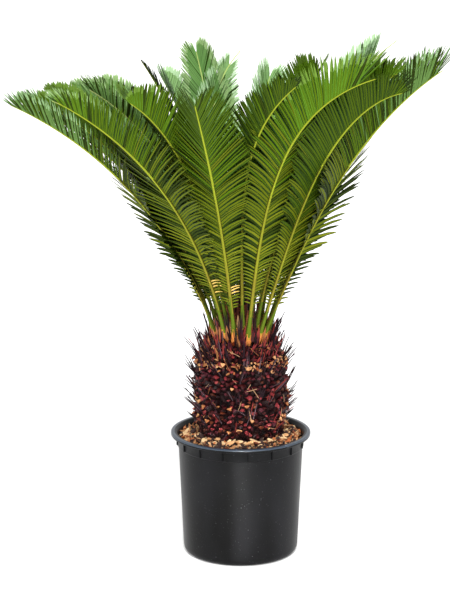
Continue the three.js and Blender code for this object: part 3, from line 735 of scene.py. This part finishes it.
def crown_wool(heap, feet):
    """Woolly tan scales between the fronds' feet, and tall dark ones round the growing point, whose dark
    paints are partly painted shade in the crown's heart.
    """
    rng = np.random.default_rng(43)
    for radius, height, count, longest, names in [
        (0.098, 0.716, 44, 0.048, ["scale_red", "base_maroon", "wool_tan"]),
        (0.088, 0.728, 40, 0.058, ["wool_tan", "scale_red", "base_brown"]),
        (0.072, 0.742, 34, 0.070, ["wool_tan", "base_brown", "wool_pale"]),
        (0.054, 0.754, 26, 0.085, ["wool_tan", "base_maroon", "base_brown"]),
        (0.036, 0.762, 20, 0.110, ["base_brown", "base_dark", "wool_tan"]),
        (0.024, 0.766, 14, 0.140, ["base_brown", "base_dark"]),
        (0.010, 0.768, 8, 0.150, ["base_brown", "base_dark"]),
    ]:
        azimuth = ringed(rng, count, 0.3)
        azimuth = azimuth[~near_feet(azimuth, feet, 7)] if radius > FEET_WITHIN else azimuth
        count = len(azimuth)
        outward = polar(1, azimuth, 0)
        axis = unit(rising(outward, rng.normal(84, 5, count)))
        foot = polar(radius, azimuth, height + rng.normal(0, 0.003, count))
        blades(heap, foot, axis, square_to(outward, axis), longest * rng.uniform(0.6, 1.1, count),
               rng.uniform(0.009, 0.016, count), 0.0025, stem_paints(rng, names, count),
               rng.uniform(-0.04, 0.08, count))


def in_bundles(rng, middle, between, within, bundles):
    """A value for each needle, scattered from bundle to bundle and less within each."""
    values = np.repeat(rng.normal(middle, between, bundles), NEEDLES_EACH)
    return values + rng.normal(0, within, len(values))


def needles(heap, feet):
    """Dry needles, in bundles that point up and out."""
    rng = np.random.default_rng(47)
    for height, bundles, length, lean in [
        (0.430, 8, 0.044, 40), (0.465, 10, 0.060, 46), (0.505, 11, 0.068, 50), (0.545, 11, 0.070, 53),
        (0.590, 12, 0.074, 56), (0.630, 14, 0.080, 60), (0.665, 12, 0.070, 72), (0.700, 16, 0.080, 76),
        (0.722, 16, 0.084, 80),
    ]:
        middle = ringed(rng, bundles, 0.35)
        middle = middle[~near_feet(middle, feet, 6)] if height > FEET_FROM else middle
        bundles = len(middle)
        count = bundles * NEEDLES_EACH
        azimuth = np.repeat(middle, NEEDLES_EACH) + rng.normal(0, 2.8, count)
        level = in_bundles(rng, height, 0.010, 0.004, bundles)
        rise = in_bundles(rng, lean, 7, 3, bundles)
        twist = in_bundles(rng, 0, 10, 3, bundles)
        axis = rising(polar(1, azimuth + twist, 0), rise)
        above = unit(np.cross(axis, np.cross(UP, axis)))
        blades(heap, polar(stem_radius(level) - 0.003, azimuth, level), axis, above,
               0.010 + length * rng.uniform(0.5, 1.2, count), rng.uniform(0.0026, 0.0042, count), 0.0016,
               stem_paints(rng, NEEDLE_PAINTS, count), rng.uniform(-0.12, 0.08, count), NEEDLE_SHAPE)


def ledge_scraps(heap):
    """Curly pale scraps of cut leaf bases along the ledge and under the feet of the fronds."""
    rng = np.random.default_rng(53)
    for height, reach, count in [
        (0.650, 0.132, 70), (0.641, 0.143, 80), (0.631, 0.149, 40), (0.697, 0.109, 44),
    ]:
        azimuth = ringed(rng, count, 0.4)
        middles = polar(reach + rng.normal(0, 0.003, count), azimuth, height + rng.normal(0, 0.005, count))
        along, above = random_frames(rng, count, tilt=50)
        paints = stem_paints(rng, SCRAP_PAINTS, count)
        curls(heap, rng, middles, along, above, paints, lengths=(0.008, 0.020))


def dry_fibres(heap):
    """Thin pale fibres that hang over the leaf bases."""
    rng = np.random.default_rng(59)
    azimuth = rng.uniform(0, 360, FIBRES)
    height = rng.uniform(0.42, BASES_TO, FIBRES)
    outward = polar(1, azimuth, 0)
    heading = rng.uniform(0, 2 * math.pi, FIBRES)[:, None]
    axis = unit(np.cross(UP, outward) * np.cos(heading) + UP * np.sin(heading) + outward * 0.15)
    blades(heap, polar(stem_radius(height) + 0.012, azimuth, height), axis, square_to(outward, axis),
           rng.uniform(0.02, 0.05, FIBRES), rng.uniform(0.0012, 0.002, FIBRES), 0.0006,
           stem_paints(rng, FIBRE_PAINTS, FIBRES), rng.uniform(-0.3, 0.05, FIBRES), FIBRE_SHAPE)


def stem_paint(name, colour):
    """Leaf bases are a little waxy; cut flesh, wool and needles are dull."""
    roughness = 0.5 if name.startswith(("base", "end")) else 0.85
    return grained(name, colour, roughness, scale=300, depth=0.0008, Specular_IOR_Level=0.14)


def make_trunk(fronds):
    feet = np.array([frond.foot for frond in fronds if frond.ring == "outer"])
    heap = Heap()
    stem_core(heap)
    leaf_bases(heap)
    cataphylls(heap, feet)
    crown_wool(heap, feet)
    needles(heap, feet)
    ledge_scraps(heap)
    dry_fibres(heap)
    paints = [stem_paint(name, colour) for name, colour in STEM_COLOURS.items()]
    trunk = make_piece("trunk_leaf_bases", heap, paints, crease=30)
    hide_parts("trunk")


# ---- Crown: the fronds' rule ----


@dataclass
class Frond:
    """One frond, as the CAD has it, and the looks of its leaflets. Angles are in degrees."""
    ring: str
    azimuth: float
    lift: float  # elevation at its foot, then at its tip
    tip: float
    length: float
    sweep: float = 0.0  # how far its azimuth turns on the way to the tip
    bend: float = 1.5  # how late it bends over: 1 is evenly
    roll: float = 0.0  # how far its blade leans to a side
    fold: float = 0.0  # how much higher its outer leaflets stand
    crest: float = 1.0  # length of its outer leaflets, as a share of the usual
    bare_tip: float = 0.0  # share of the rib's end that has lost its leaflets
    end: tuple = ("green", 0.62)  # tone of its outer leaflets, and the share of the rib they start at
    withered: tuple = (0.0, 0.0, 0.0)  # from and to which share of the rib, and how many there
    dark: tuple = (0.08, 0.03)  # shares of leaflets painted dark as painted shade, in its lower and its upper half
    # The rest are shares of the usual, and the pairs are for its lower and its upper leaflets.
    droop: float = 1.0  # how far the lowest leaflets hang
    stand: float = 1.0  # how far the lower ones stand off the rib
    sparse: tuple = (1.0, 1.0)  # spacing
    broad: tuple = (1.0, 1.0)  # width
    reach: tuple = (1.0, 1.0)  # length
    foot: float = 0.0


# Traits that fronds share. Those in front hang less, with broad leaflets. At the sides the lower leaflets
# stand apart, and behind all of them are close together, with most of the lower ones painted dark: painted
# shade.
FRONT = {"droop": 0.4, "stand": 0.87, "sparse": (0.98, 0.9), "broad": (1.3, 1.4), "reach": (0.85, 1.0),
         "dark": (0.12, 0.03)}
SIDE = {"sparse": (1.6, 1.0), "broad": (1.75, 1.1), "dark": (0.7, 0.05)}
BACK = {"sparse": (0.62, 0.9), "broad": (1.1, 1.5), "dark": (0.9, 0.0)}

SHAPED_FRONDS = [
    Frond("outer", 257, 69.5, 30, 1.06, sweep=8, bend=1.25, withered=(0.15, 0.20, 0.8), **FRONT),
    Frond("outer", 285, 70.5, 18, 1.135, sweep=42, bend=2.1, crest=1.2, bare_tip=0.05,
          end=("fresh", 0.72), **FRONT),
    Frond("outer", 235, 74, 27, 1.115, sweep=-12, bend=0.85, crest=0.7, end=("fresh", 0.9),
          withered=(0.15, 0.20, 0.8), dark=(0.3, 0.2), droop=0.4, sparse=(0.95, 0.95), broad=(1.15, 0.95)),
    Frond("outer", 311, 67.5, 13, 1.085, sweep=-4, bend=2.75, crest=0.9, end=("shade", 0.4), **FRONT),
    Frond("outer", 202, 70, 26, 1.035, sweep=2, bend=1.15, crest=0.8, end=("grey", 0.7),
          sparse=(1.25, 0.8), broad=(1.8, 0.65), dark=(0.7, 0.4)),
    Frond("outer", 327, 66, 34, 1.085, bend=2, crest=1.25, bare_tip=0.02, end=("grey", 0.78),
          sparse=(1.5, 0.5), broad=(1.7, 0.6), dark=(0.7, 0.42)),
    Frond("outer", 350, 73, 40, 0.98, crest=1.3, end=("fresh", 0.5), **SIDE),
    Frond("outer", 20, 72, 34, 0.93, crest=0.8, end=("fresh", 0.5), **SIDE),
    Frond("middle", 266.5, 75, 33.5, 1.03, sweep=44, bend=1.2, crest=0.7, end=("shade", 0.4),
          droop=0.4, stand=0.87, sparse=(1.0, 0.9), broad=(1.2, 1.3), reach=(0.84, 1.0), dark=(0.9, 0.05)),
    Frond("middle", 241, 68, 23, 1.035, sweep=2, bend=1.8, crest=1.1, end=("fresh", 0.85), **FRONT),
    Frond("middle", 296, 78, 39, 1.00, sweep=-3, crest=1.05, end=("bright", 0.68), **FRONT),
    Frond("middle", 231, 74, 29, 1.03, sweep=-8, bend=1.3, crest=0.9, end=("hazy", 0.7),
          broad=(1.0, 0.8), dark=(0.08, 0.3)),
    Frond("middle", 318, 77, 28, 1.05, sweep=-2, crest=0.9, end=("bright", 0.5), broad=(1.0, 1.4)),
    Frond("middle", 206, 73, 24, 0.98, crest=0.7, end=("hazy", 0.62), **SIDE),
    Frond("middle", 8, 82, 36, 1.035, sweep=-4, bend=1.7, crest=0.8, bare_tip=0.1, end=("pale", 0.45),
          **BACK),
    Frond("middle", 31, 74, 38, 0.93, end=("hazy", 0.55), **BACK),
    Frond("middle", 83, 75, 37, 0.885, sweep=-4, roll=25, crest=1.2, end=("pale", 0.55), **BACK),
    Frond("middle", 112, 70, 50, 0.945, sweep=-3, bend=1.6, roll=-20, end=("hazy", 0.5), **BACK),
    Frond("inner", 122, 77, 36, 0.98, sweep=-78, bend=1.3, roll=30, crest=0.3, bare_tip=0.07,
          end=("pale", 0.55), **BACK),
    Frond("middle", 122, 72, 37, 0.90, roll=20, end=("pale", 0.6), **BACK),
    Frond("middle", 129, 75, 38, 0.95, roll=50, fold=-36, crest=0.3, end=("deep", 0.4), **BACK),
    Frond("middle", 140, 71, 29, 0.93, crest=0.8, end=("hazy", 0.45), **BACK),
    Frond("middle", 155, 73, 28, 0.935, crest=0.7, end=("hazy", 0.45), **BACK),
    Frond("middle", 180, 68, 22, 0.97, crest=0.9, end=("grey", 0.62), **SIDE),
]
BACK_FIRST, BACK_STEP, BACK_COUNT, BACK_LENGTH, BACK_CREST = 38, 22, 8, 0.945, 0.85
BACK_LIFT = (58, 73)  # elevations at the middle of the back and at the sides
BACK_TIP = (4, 29)


def back_fronds():
    """The older fronds on the far side, lower the nearer they are to the middle of the back."""
    for i in range(BACK_COUNT):
        azimuth = BACK_FIRST + i * BACK_STEP
        aside = abs(math.cos(math.radians(azimuth)))
        yield Frond("outer", azimuth, mix(*BACK_LIFT, aside), mix(*BACK_TIP, aside), BACK_LENGTH,
                    crest=BACK_CREST, end=("fresh", 0.75), **BACK)


def spread_feet(fronds):
    """Gives each frond its foot's azimuth, with neighbours in a ring pushed apart where they crowd."""
    for ring, (radius, _) in RINGS.items():
        row = sorted((frond for frond in fronds if frond.ring == ring), key=lambda frond: frond.azimuth)
        gap = math.degrees(FOOT_GAP / radius)
        for frond in row:
            frond.foot = frond.azimuth
        for _ in range(SPREAD_PASSES):
            for frond, after in zip(row, row[1:] + row[:1]):
                push = max(0, gap - (after.foot - frond.foot + 360) % 360) / 2
                frond.foot -= push
                after.foot += push


def crown_fronds():
    fronds = [*SHAPED_FRONDS, *back_fronds()]
    spread_feet(fronds)
    return fronds


def blade_frame(frond, u):
    """The rib's direction, the blade's upper side and its right-hand side at shares u of the rib."""
    u = np.clip(u, 0, 1)
    rise = np.radians(frond.lift + (frond.tip - frond.lift) * u ** frond.bend)[..., None]
    outward = polar(1, frond.azimuth + frond.sweep * u ** 2, 0)
    along = outward * np.cos(rise) + UP * np.sin(rise)
    above = UP * np.cos(rise) - outward * np.sin(rise)
    right = np.cross(along, above)
    roll = np.radians(frond.roll * np.minimum(1, u / ROLL_DONE))[..., None]
    above = above * np.cos(roll) + right * np.sin(roll)
    return along, above, np.cross(along, above)


def rib_line(frond):
    """Points along the rib, found by stepping along its direction."""
    radius, height = RINGS[frond.ring]
    steps, _, _ = blade_frame(frond, (np.arange(RIB_STEPS) + 0.5) / RIB_STEPS)
    foot = polar(radius, frond.foot, height)
    return foot + np.vstack([np.zeros(3), np.cumsum(steps, axis=0) * frond.length / RIB_STEPS])


def on_rib(frond, line, u):
    """Points of the rib at shares u; below 0 it runs straight on into the trunk."""
    places = np.linspace(0, 1, len(line))
    points = np.stack([np.interp(u, places, line[:, axis]) for axis in range(3)], axis=-1)
    down, _, _ = blade_frame(frond, np.zeros(1))
    return points + down * (np.minimum(u, 0) * frond.length)[..., None]


# ---- Crown: ribs ----

FROND_COLOURS = {
    "leaf_top_deep": (14, 28, 6), "leaf_top_blue": (24, 48, 12), "leaf_top_mid": (28, 50, 10),
    "leaf_top_fresh": (74, 112, 22), "leaf_top_bright": (100, 142, 34), "leaf_top_grey": (84, 114, 60),
    "leaf_top_hazy": (104, 146, 80), "leaf_top_pale": (132, 170, 108), "leaf_under_olive": (102, 108, 20),
    "leaf_under_lime": (84, 94, 12), "leaf_under_green": (72, 95, 6), "leaf_under_deep": (44, 56, 10),
    "leaf_under_fresh": (68, 93, 12), "leaf_under_bright": (90, 121, 22),
    "leaf_under_shade": (60, 78, 10), "leaf_under_grey": (86, 116, 58), "leaf_under_hazy": (104, 138, 70),
    "leaf_under_pale": (130, 160, 112), "leaf_end_fresh": (94, 124, 46), "leaf_end_bright": (96, 126, 44),
    "leaf_end_grey": (126, 158, 108), "leaf_end_hazy": (138, 168, 110), "leaf_end_pale": (172, 202, 158),
    "edge_dark": (48, 60, 8), "edge_lime": (62, 74, 8), "edge_green": (54, 74, 8),
    "edge_bright": (88, 118, 28), "edge_grey": (46, 66, 34), "edge_hazy": (86, 114, 68),
    "leaf_foot": (62, 46, 14), "leaf_withered": (222, 186, 100), "rib_lime": (134, 144, 38),
    "rib_olive": (126, 128, 36), "rib_tan": (122, 114, 36), "rib_pale": (172, 186, 110),
    "petiole_green": (84, 102, 26), "petiole_yellow": (176, 136, 50), "petiole_orange": (222, 138, 72),
    "petiole_brown": (120, 50, 26), "rib_side": (76, 72, 20), "petiole_side": (62, 72, 18),
    "thorn_brown": (80, 42, 20),
}
FROND_PAINT = {name: number for number, name in enumerate(FROND_COLOURS)}
GLOSSY = {"leaf_top_blue", "leaf_top_mid", "leaf_top_fresh"}


def frond_paint(name, colour):
    if name in GLOSSY:
        return grained(name, colour, 0.45, 500, 0.0002, Specular_IOR_Level=0.06)
    return grained(name, colour, 0.65, 400, 0.0003, Specular_IOR_Level=0.03)


RIB_SIDE_FROM = 0.8  # share of the half width beyond which a rib's faces are its sides
ORANGE_END, PETIOLE_END = 0.022, 0.12  # shares of the rib where the orange foot and the petiole end
SHADED_SIDES_END = 0.6
RAGGED_AT, RAGGED = [0, 0.03, 0.12], [0.006, 0.006, 0.02]  # how far its colours run into each other
RIB_RINGS = np.concatenate([[-0.03, -0.015], np.linspace(0, 0.05, 14), np.linspace(0.06, 1, 46)])
# Clockwise, because right x above points back down the rib.
RIB_OUTLINE = np.array([(0.8, -0.6), (0.32, -1), (-0.32, -1), (-0.8, -0.6), (-1, 0.2),
                        (-0.72, 0.75), (-0.25, 0.6), (0.25, 0.6), (0.72, 0.75), (1, 0.2)])
THORN_PAIRS = 7
THORNS_FROM, THORNS_END = 0.035, LEAFLETS_FROM - 0.004
THORN_SHAPE = ((0, 0.5), (1, 0.6))


def rib_paint(frond, u):
    """The rib's colour: brown and orange at its foot, green petiole, then a duller and a bright olive."""
    limits = [-0.01, ORANGE_END, 0.030, PETIOLE_END, 0.24, 0.5]
    names = ["petiole_brown", "petiole_orange", "petiole_yellow", "petiole_green", "rib_tan", "rib_olive",
             "rib_lime"]
    paints = np.array([FROND_PAINT[name] for name in names])[np.searchsorted(limits, u)]
    # On hazy and pale fronds the rib's outer part is painted pale as well: painted sheen.
    tone, tone_from = frond.end
    is_pale = (u > tone_from) & (tone in ("hazy", "pale"))
    return np.where(is_pale, FROND_PAINT["rib_pale"], paints)


def rib_paints(frond, u, rng):
    """Paints of a whole rib with rings at shares u: its walls, with darker sides, its foot and its tip."""
    sides = len(RIB_OUTLINE)
    middles = ((u[:-1] + u[1:]) / 2)[:, None]
    ragged = rng.normal(0, 1, sides) * np.interp(middles, RAGGED_AT, RAGGED)
    walls = rib_paint(frond, middles + ragged)
    # The darker sides are partly the rib's own browner edges and partly painted shade.
    is_side = np.abs(RIB_OUTLINE[:, 0] + np.roll(RIB_OUTLINE[:, 0], -1)) > 2 * RIB_SIDE_FROM
    side_paint = np.where(middles < PETIOLE_END, FROND_PAINT["petiole_side"], FROND_PAINT["rib_side"])
    shaded = is_side & (middles > ORANGE_END) & (middles < SHADED_SIDES_END)
    walls = np.where(shaded, side_paint, walls).ravel()
    return np.concatenate([walls, [FROND_PAINT["petiole_brown"]], walls[-sides:]])


def rib_halves(u):
    """The rib's half width and half depth."""
    return [np.interp(u, RIB_AT, halves)[:, None] for halves in (RIB_HALF_WIDTH, RIB_HALF_DEPTH)]


def grow_rib(heap, frond, line, rng):
    _, above, right = blade_frame(frond, RIB_RINGS)
    width, depth = rib_halves(RIB_RINGS)
    spine = on_rib(frond, line, RIB_RINGS)
    end = spine[-1:] + (spine[-1:] - spine[-2:-1]) * 0.5
    loft(heap, np.concatenate([spine, end])[None], (right * width)[None], (above * depth)[None],
         RIB_OUTLINE, True, rib_paints(frond, RIB_RINGS, rng)[None])


def grow_thorns(heap, frond, line, rng):
    """Short thorns along the petiole, where the lowest leaflets are stunted."""
    count = 2 * THORN_PAIRS
    u = np.repeat(np.linspace(THORNS_FROM, THORNS_END, THORN_PAIRS), 2) + rng.normal(0, 0.002, count)
    side = np.tile([-1.0, 1.0], THORN_PAIRS)[:, None]
    along, above, right = blade_frame(frond, u)
    width, _ = rib_halves(u)
    foot = on_rib(frond, line, u) + right * side * width * 0.8
    axis = unit(right * side + along * 0.55 + above * 0.15)
    length = mix(0.005, 0.011, (u - THORNS_FROM) / 0.06) * rng.uniform(0.8, 1.2, count)
    blades(heap, foot, axis, above, length, np.full(count, 0.0034), 0.0013,
           FROND_PAINT["thorn_brown"], shape=THORN_SHAPE)


# ---- Crown: leaflets ----

LEAFLET_RINGS = np.array([0, 0.04, 0.12, 0.40, 0.70, 0.88])
LEAFLET_GIRTHS = np.array([0.6, 0.95, 1, 0.95, 0.80, 0.55])
LEAFLET_RIDGE = 0.0008  # height of the ridge, and depth of the rolled edges
FULL_WIDTH_FROM = 0.09  # shorter leaflets are also narrower
WITHERED_SIDE = -1
WITHERED_WIDTH = 0.6  # width of withered leaflets, as a share of the usual
LEAFLET_BEND_AT = [0, 0.15, 0.45, 0.65, 1]
LEAFLET_BEND = [0.08, 0.30, 0.24, 0.07, 0.03]
LEAFLET_OUTLINE = np.array([(1, -0.6), (0, 0.15), (-1, -0.6), (-0.72, -0.25), (0, -0.45), (0.72, -0.25)])
# The grey, hazy and pale tones are a painted sheen of the sky on the leaflets, bright is a painted glow of
# light through them, and deep is painted shade.
TONES = {  # shades of the upper side, the underside and its rolled edges
    "olive": ("mid", "olive", "dark"), "lime": ("mid", "lime", "lime"), "green": ("blue", "green", "green"),
    "fresh": ("fresh", "fresh", "green"), "bright": ("bright", "bright", "bright"),
    "deep": ("deep", "deep", "dark"), "shade": ("mid", "shade", "dark"), "grey": ("grey", "grey", "grey"),
    "hazy": ("hazy", "hazy", "hazy"), "pale": ("pale", "pale", "hazy"),
}
TONE_NUMBER = {name: number for number, name in enumerate([*TONES, "withered"])}
TONE_PAINTS = [
    [FROND_PAINT[f"{side}_{shade}"] for side, shade in zip(("leaf_top", "leaf_under", "edge"), shades)]
    for shades in TONES.values()
]
TONE_END_PAINTS = [  # some tones are paler at the leaflets' tips: painted sheen on grey, hazy and pale, painted glow on bright
    [FROND_PAINT.get(f"leaf_end_{tone}", paint) for paint in paints]
    for tone, paints in zip(TONES, TONE_PAINTS)
]
WITHERED_PAINTS = [FROND_PAINT["leaf_withered"]] * 3
OLIVE_END, LIME_END = 0.34, 0.62  # shares of the rib where the olive and the lime leaflets end
TONE_SCATTER = 0.06  # of the rib, by which tones run into each other
BROWN_FEET_END = 0.34  # share of the rib below which the leaflets' feet are brown: partly their own colour, partly painted shade
END_SHARE = 0.94  # share of a frond's outer leaflets that take its own tone


def leaflet_places(rng, frond):
    """Shares of the rib where leaflets stand, closer together near the tip, and their sides in turn."""
    grid = np.linspace(LOWEST_LEAFLET, 1 - frond.bare_tip, 400)
    spacing = np.interp(grid, LEAFLET_SPACING_AT, LEAFLET_SPACING) / FULL_LENGTH
    spacing = spacing * np.where(grid < FIRST_HALF, *frond.sparse)
    passed = np.concatenate([[0], np.cumsum(np.diff(grid) / spacing[1:])])
    u = np.interp(np.arange(0, passed[-1], 0.5), passed, grid)
    side = np.where(np.arange(len(u)) % 2, 1.0, -1.0)[:, None]
    return np.minimum(u + rng.normal(0, 0.0006, len(u)), 1), side


def leaflet_tones(frond, u, side, rng):
    """Each leaflet's tone: olive near the foot, then lime, and the frond's own tone at its end."""
    tone, tone_from = frond.end
    spread = u + rng.normal(0, TONE_SCATTER, len(u))
    tones = np.where(spread < OLIVE_END, TONE_NUMBER["olive"], TONE_NUMBER["lime"])
    is_end = (spread > tone_from) & (rng.random(len(u)) < END_SHARE)
    tones = np.where(spread > LIME_END, TONE_NUMBER["green"], tones)
    tones = np.where(is_end, TONE_NUMBER[tone], tones)
    # Leaflets dealt the deep tone are painted shade, most of them low on the fronds at the sides and back.
    dark = np.where(spread < FIRST_HALF, *frond.dark)
    tones = np.where(rng.random(len(u)) < dark, TONE_NUMBER["deep"], tones)
    start, stop, share = frond.withered
    withered = (u > start) & (u < stop) & (side == WITHERED_SIDE) & (rng.random(len(u)) < share)
    return np.where(withered, TONE_NUMBER["withered"], tones)


def around_leaflet(paints):
    """The paints (top, underside, edge) of leaflets, set out around their outline."""
    # The rolled edges mostly take a darker paint than the underside: partly their own colour, partly
    # painted shade.
    top, under, edge = paints.T
    return np.stack([top, top, edge, under, under, edge], axis=1)


def leaflet_paints(tones, u):
    """Paints of whole leaflets: the foot, the tone's own paints, then those of its faded tip."""
    ring = around_leaflet(np.array([*TONE_PAINTS, WITHERED_PAINTS])[tones])
    end = around_leaflet(np.array([*TONE_END_PAINTS, WITHERED_PAINTS])[tones])
    foot = np.where((u < BROWN_FEET_END)[:, None], FROND_PAINT["leaf_foot"], ring)
    walls = np.tile(ring, (1, len(LEAFLET_RINGS) - 3))
    return np.concatenate([foot, walls, end, foot[:, :1], end], axis=1)


def leaflet_directions(frond, u, side, rng):
    """Each leaflet's direction, the way it bows, how far, and its upper side."""
    count = len(u)
    along, above, right = blade_frame(frond, u)
    stand = np.interp(u, HALVES_MEET, [frond.stand, 1])
    bend = np.interp(u, LEAFLET_BEND_AT, LEAFLET_BEND) * stand ** 2 * (1 + rng.normal(0, 0.2, count))
    angle = np.interp(u, ANGLE_AT, LEAFLET_ANGLE) * stand + rng.normal(0, 1.5, count)
    angle = (np.radians(angle) - np.arctan(bend))[:, None]
    vee = np.interp(u, VEE_AT, LEAFLET_VEE)
    vee = np.where(vee < 0, vee * frond.droop, vee) + frond.fold * u + rng.normal(0, 3, count)
    vee = np.radians(vee)[:, None]
    outward = right * side * np.cos(vee) + above * np.sin(vee)
    axis = along * np.cos(angle) + outward * np.sin(angle)
    face = unit(np.cross(axis, along) * side)
    return axis, square_to(outward, axis), bend, face


def leaflet_lengths(frond, u, rng):
    tipward = np.clip((u - CREST_FROM) / (1 - CREST_FROM), 0, 1) ** CREST_POWER
    crest = 1 + (frond.crest - 1) * tipward
    length = np.interp(u, LEAFLET_AT, LEAFLET_LENGTH) * crest * frond.length / FULL_LENGTH
    length *= np.interp(u, HALVES_MEET, frond.reach)
    return length * (1 + rng.normal(0, 0.03, len(u)))


def leaflet_half_widths(frond, u, length, tones):
    half = np.interp(u, LEAFLET_WIDTH_AT, LEAFLET_WIDTH) / 2 * np.clip(length / FULL_WIDTH_FROM, 0.55, 1)
    half *= np.interp(u, HALVES_MEET, frond.broad)
    return np.where(tones == TONE_NUMBER["withered"], half * WITHERED_WIDTH, half)


def grow_leaflets(heap, frond, line, rng):
    u, side = leaflet_places(rng, frond)
    _, above, right = blade_frame(frond, u)
    width, depth = rib_halves(u)
    foot = on_rib(frond, line, u) + right * side * width * 0.55 + above * depth * 0.35
    axis, bow, bend, face = leaflet_directions(frond, u, side, rng)
    length = leaflet_lengths(frond, u, rng)
    tones = leaflet_tones(frond, u, side[:, 0], rng)
    half = leaflet_half_widths(frond, u, length, tones)
    t = np.append(LEAFLET_RINGS, 1.0)
    spine = foot[:, None] + length[:, None, None] * (
        axis[:, None] * t[:, None] + bow[:, None] * (bend[:, None] * t ** 2)[..., None])
    across = np.cross(face, axis)[:, None] * (half[:, None] * LEAFLET_GIRTHS)[..., None]
    over = np.repeat(face[:, None] * LEAFLET_RIDGE, len(LEAFLET_RINGS), axis=1)
    loft(heap, spine, across, over, LEAFLET_OUTLINE, True, leaflet_paints(tones, u))


def make_crown(fronds):
    materials = [frond_paint(name, colour) for name, colour in FROND_COLOURS.items()]
    for number, frond in enumerate(fronds, start=1):
        rng = np.random.default_rng(100 + number)
        line = rib_line(frond)
        rib, leaves = Heap(), Heap()
        grow_rib(rib, frond, line, rng)
        grow_thorns(rib, frond, line, rng)
        grow_leaflets(leaves, frond, line, rng)
        node_name = f"frond_{number:02d}"
        for heap, part, crease in [(rib, "rib", 50), (leaves, "leaflets", None)]:
            piece = make_piece(f"{node_name}_{part}", heap, materials, crease)
            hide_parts(node_name)


# ---- Studio ----

IMAGE_HEIGHT_PX = 600
FOCAL_PX = 1933
SENSOR_MM = 36
CAMERA_PLACE = (0, -6.0, 2.18)
CAMERA_DOWN, CAMERA_LEFT = 12.68, 0.483  # degrees
FLOOR_SIZE = 120
SKY_STRENGTH = 1.12


def make_camera():
    camera = bpy.data.cameras.new("camera")
    camera.sensor_width = SENSOR_MM
    camera.lens = FOCAL_PX / IMAGE_HEIGHT_PX * SENSOR_MM
    camera.clip_end = 500
    holder = bpy.data.objects.new("camera", camera)
    holder.location = CAMERA_PLACE
    holder.rotation_euler = (math.radians(90 - CAMERA_DOWN), 0, math.radians(CAMERA_LEFT))
    bpy.context.scene.collection.objects.link(holder)
    bpy.context.scene.camera = holder


def make_floor():
    bpy.ops.mesh.primitive_plane_add(size=FLOOR_SIZE, location=(0, 0, -0.0005))
    floor = bpy.context.object
    floor.name = "floor"
    floor.data.materials.append(paint("floor_white", (0.95, 0.95, 0.95), 0.9, Specular_IOR_Level=0.1))


def add_light(kind, name, place, target, energy, **values):
    """A light at a place that shines at a target; values go to its own properties."""
    light = bpy.data.lights.new(name, kind)
    light.energy = energy
    for key, value in values.items():
        setattr(light, key, value)
    holder = bpy.data.objects.new(name, light)
    holder.location = place
    aim = np.array(target) - np.array(place)
    holder.rotation_euler = Vector(aim).to_track_quat("-Z", "Y").to_euler()
    bpy.context.scene.collection.objects.link(holder)


def make_light():
    """A white sky, a soft sun high in front, and two disks that brighten the trunk and the pot."""
    world = bpy.data.worlds.new("studio")
    bpy.context.scene.world = world
    world.use_nodes = True
    background = world.node_tree.nodes["Background"]
    background.inputs["Color"].default_value = (1, 1, 1, 1)
    background.inputs["Strength"].default_value = SKY_STRENGTH
    add_light("SUN", "key", (0.04, -1.0, 1.2), (0, 0, 0), 2.6, angle=math.radians(20))
    add_light("AREA", "front", (0.1, -3.0, 0.55), (0, 0, 0.5), 42, shape="DISK", size=0.5)
    add_light("AREA", "pot", (0.12, -3.0, 0.10), (0, 0, 0.15), 1.4, shape="DISK", size=0.4,
              spread=math.radians(14))
    bpy.context.scene.view_settings.view_transform = "Standard"


make_camera()
make_light()
make_floor()
make_pot()
make_substrate()
fronds = crown_fronds()
make_trunk(fronds)
make_crown(fronds)
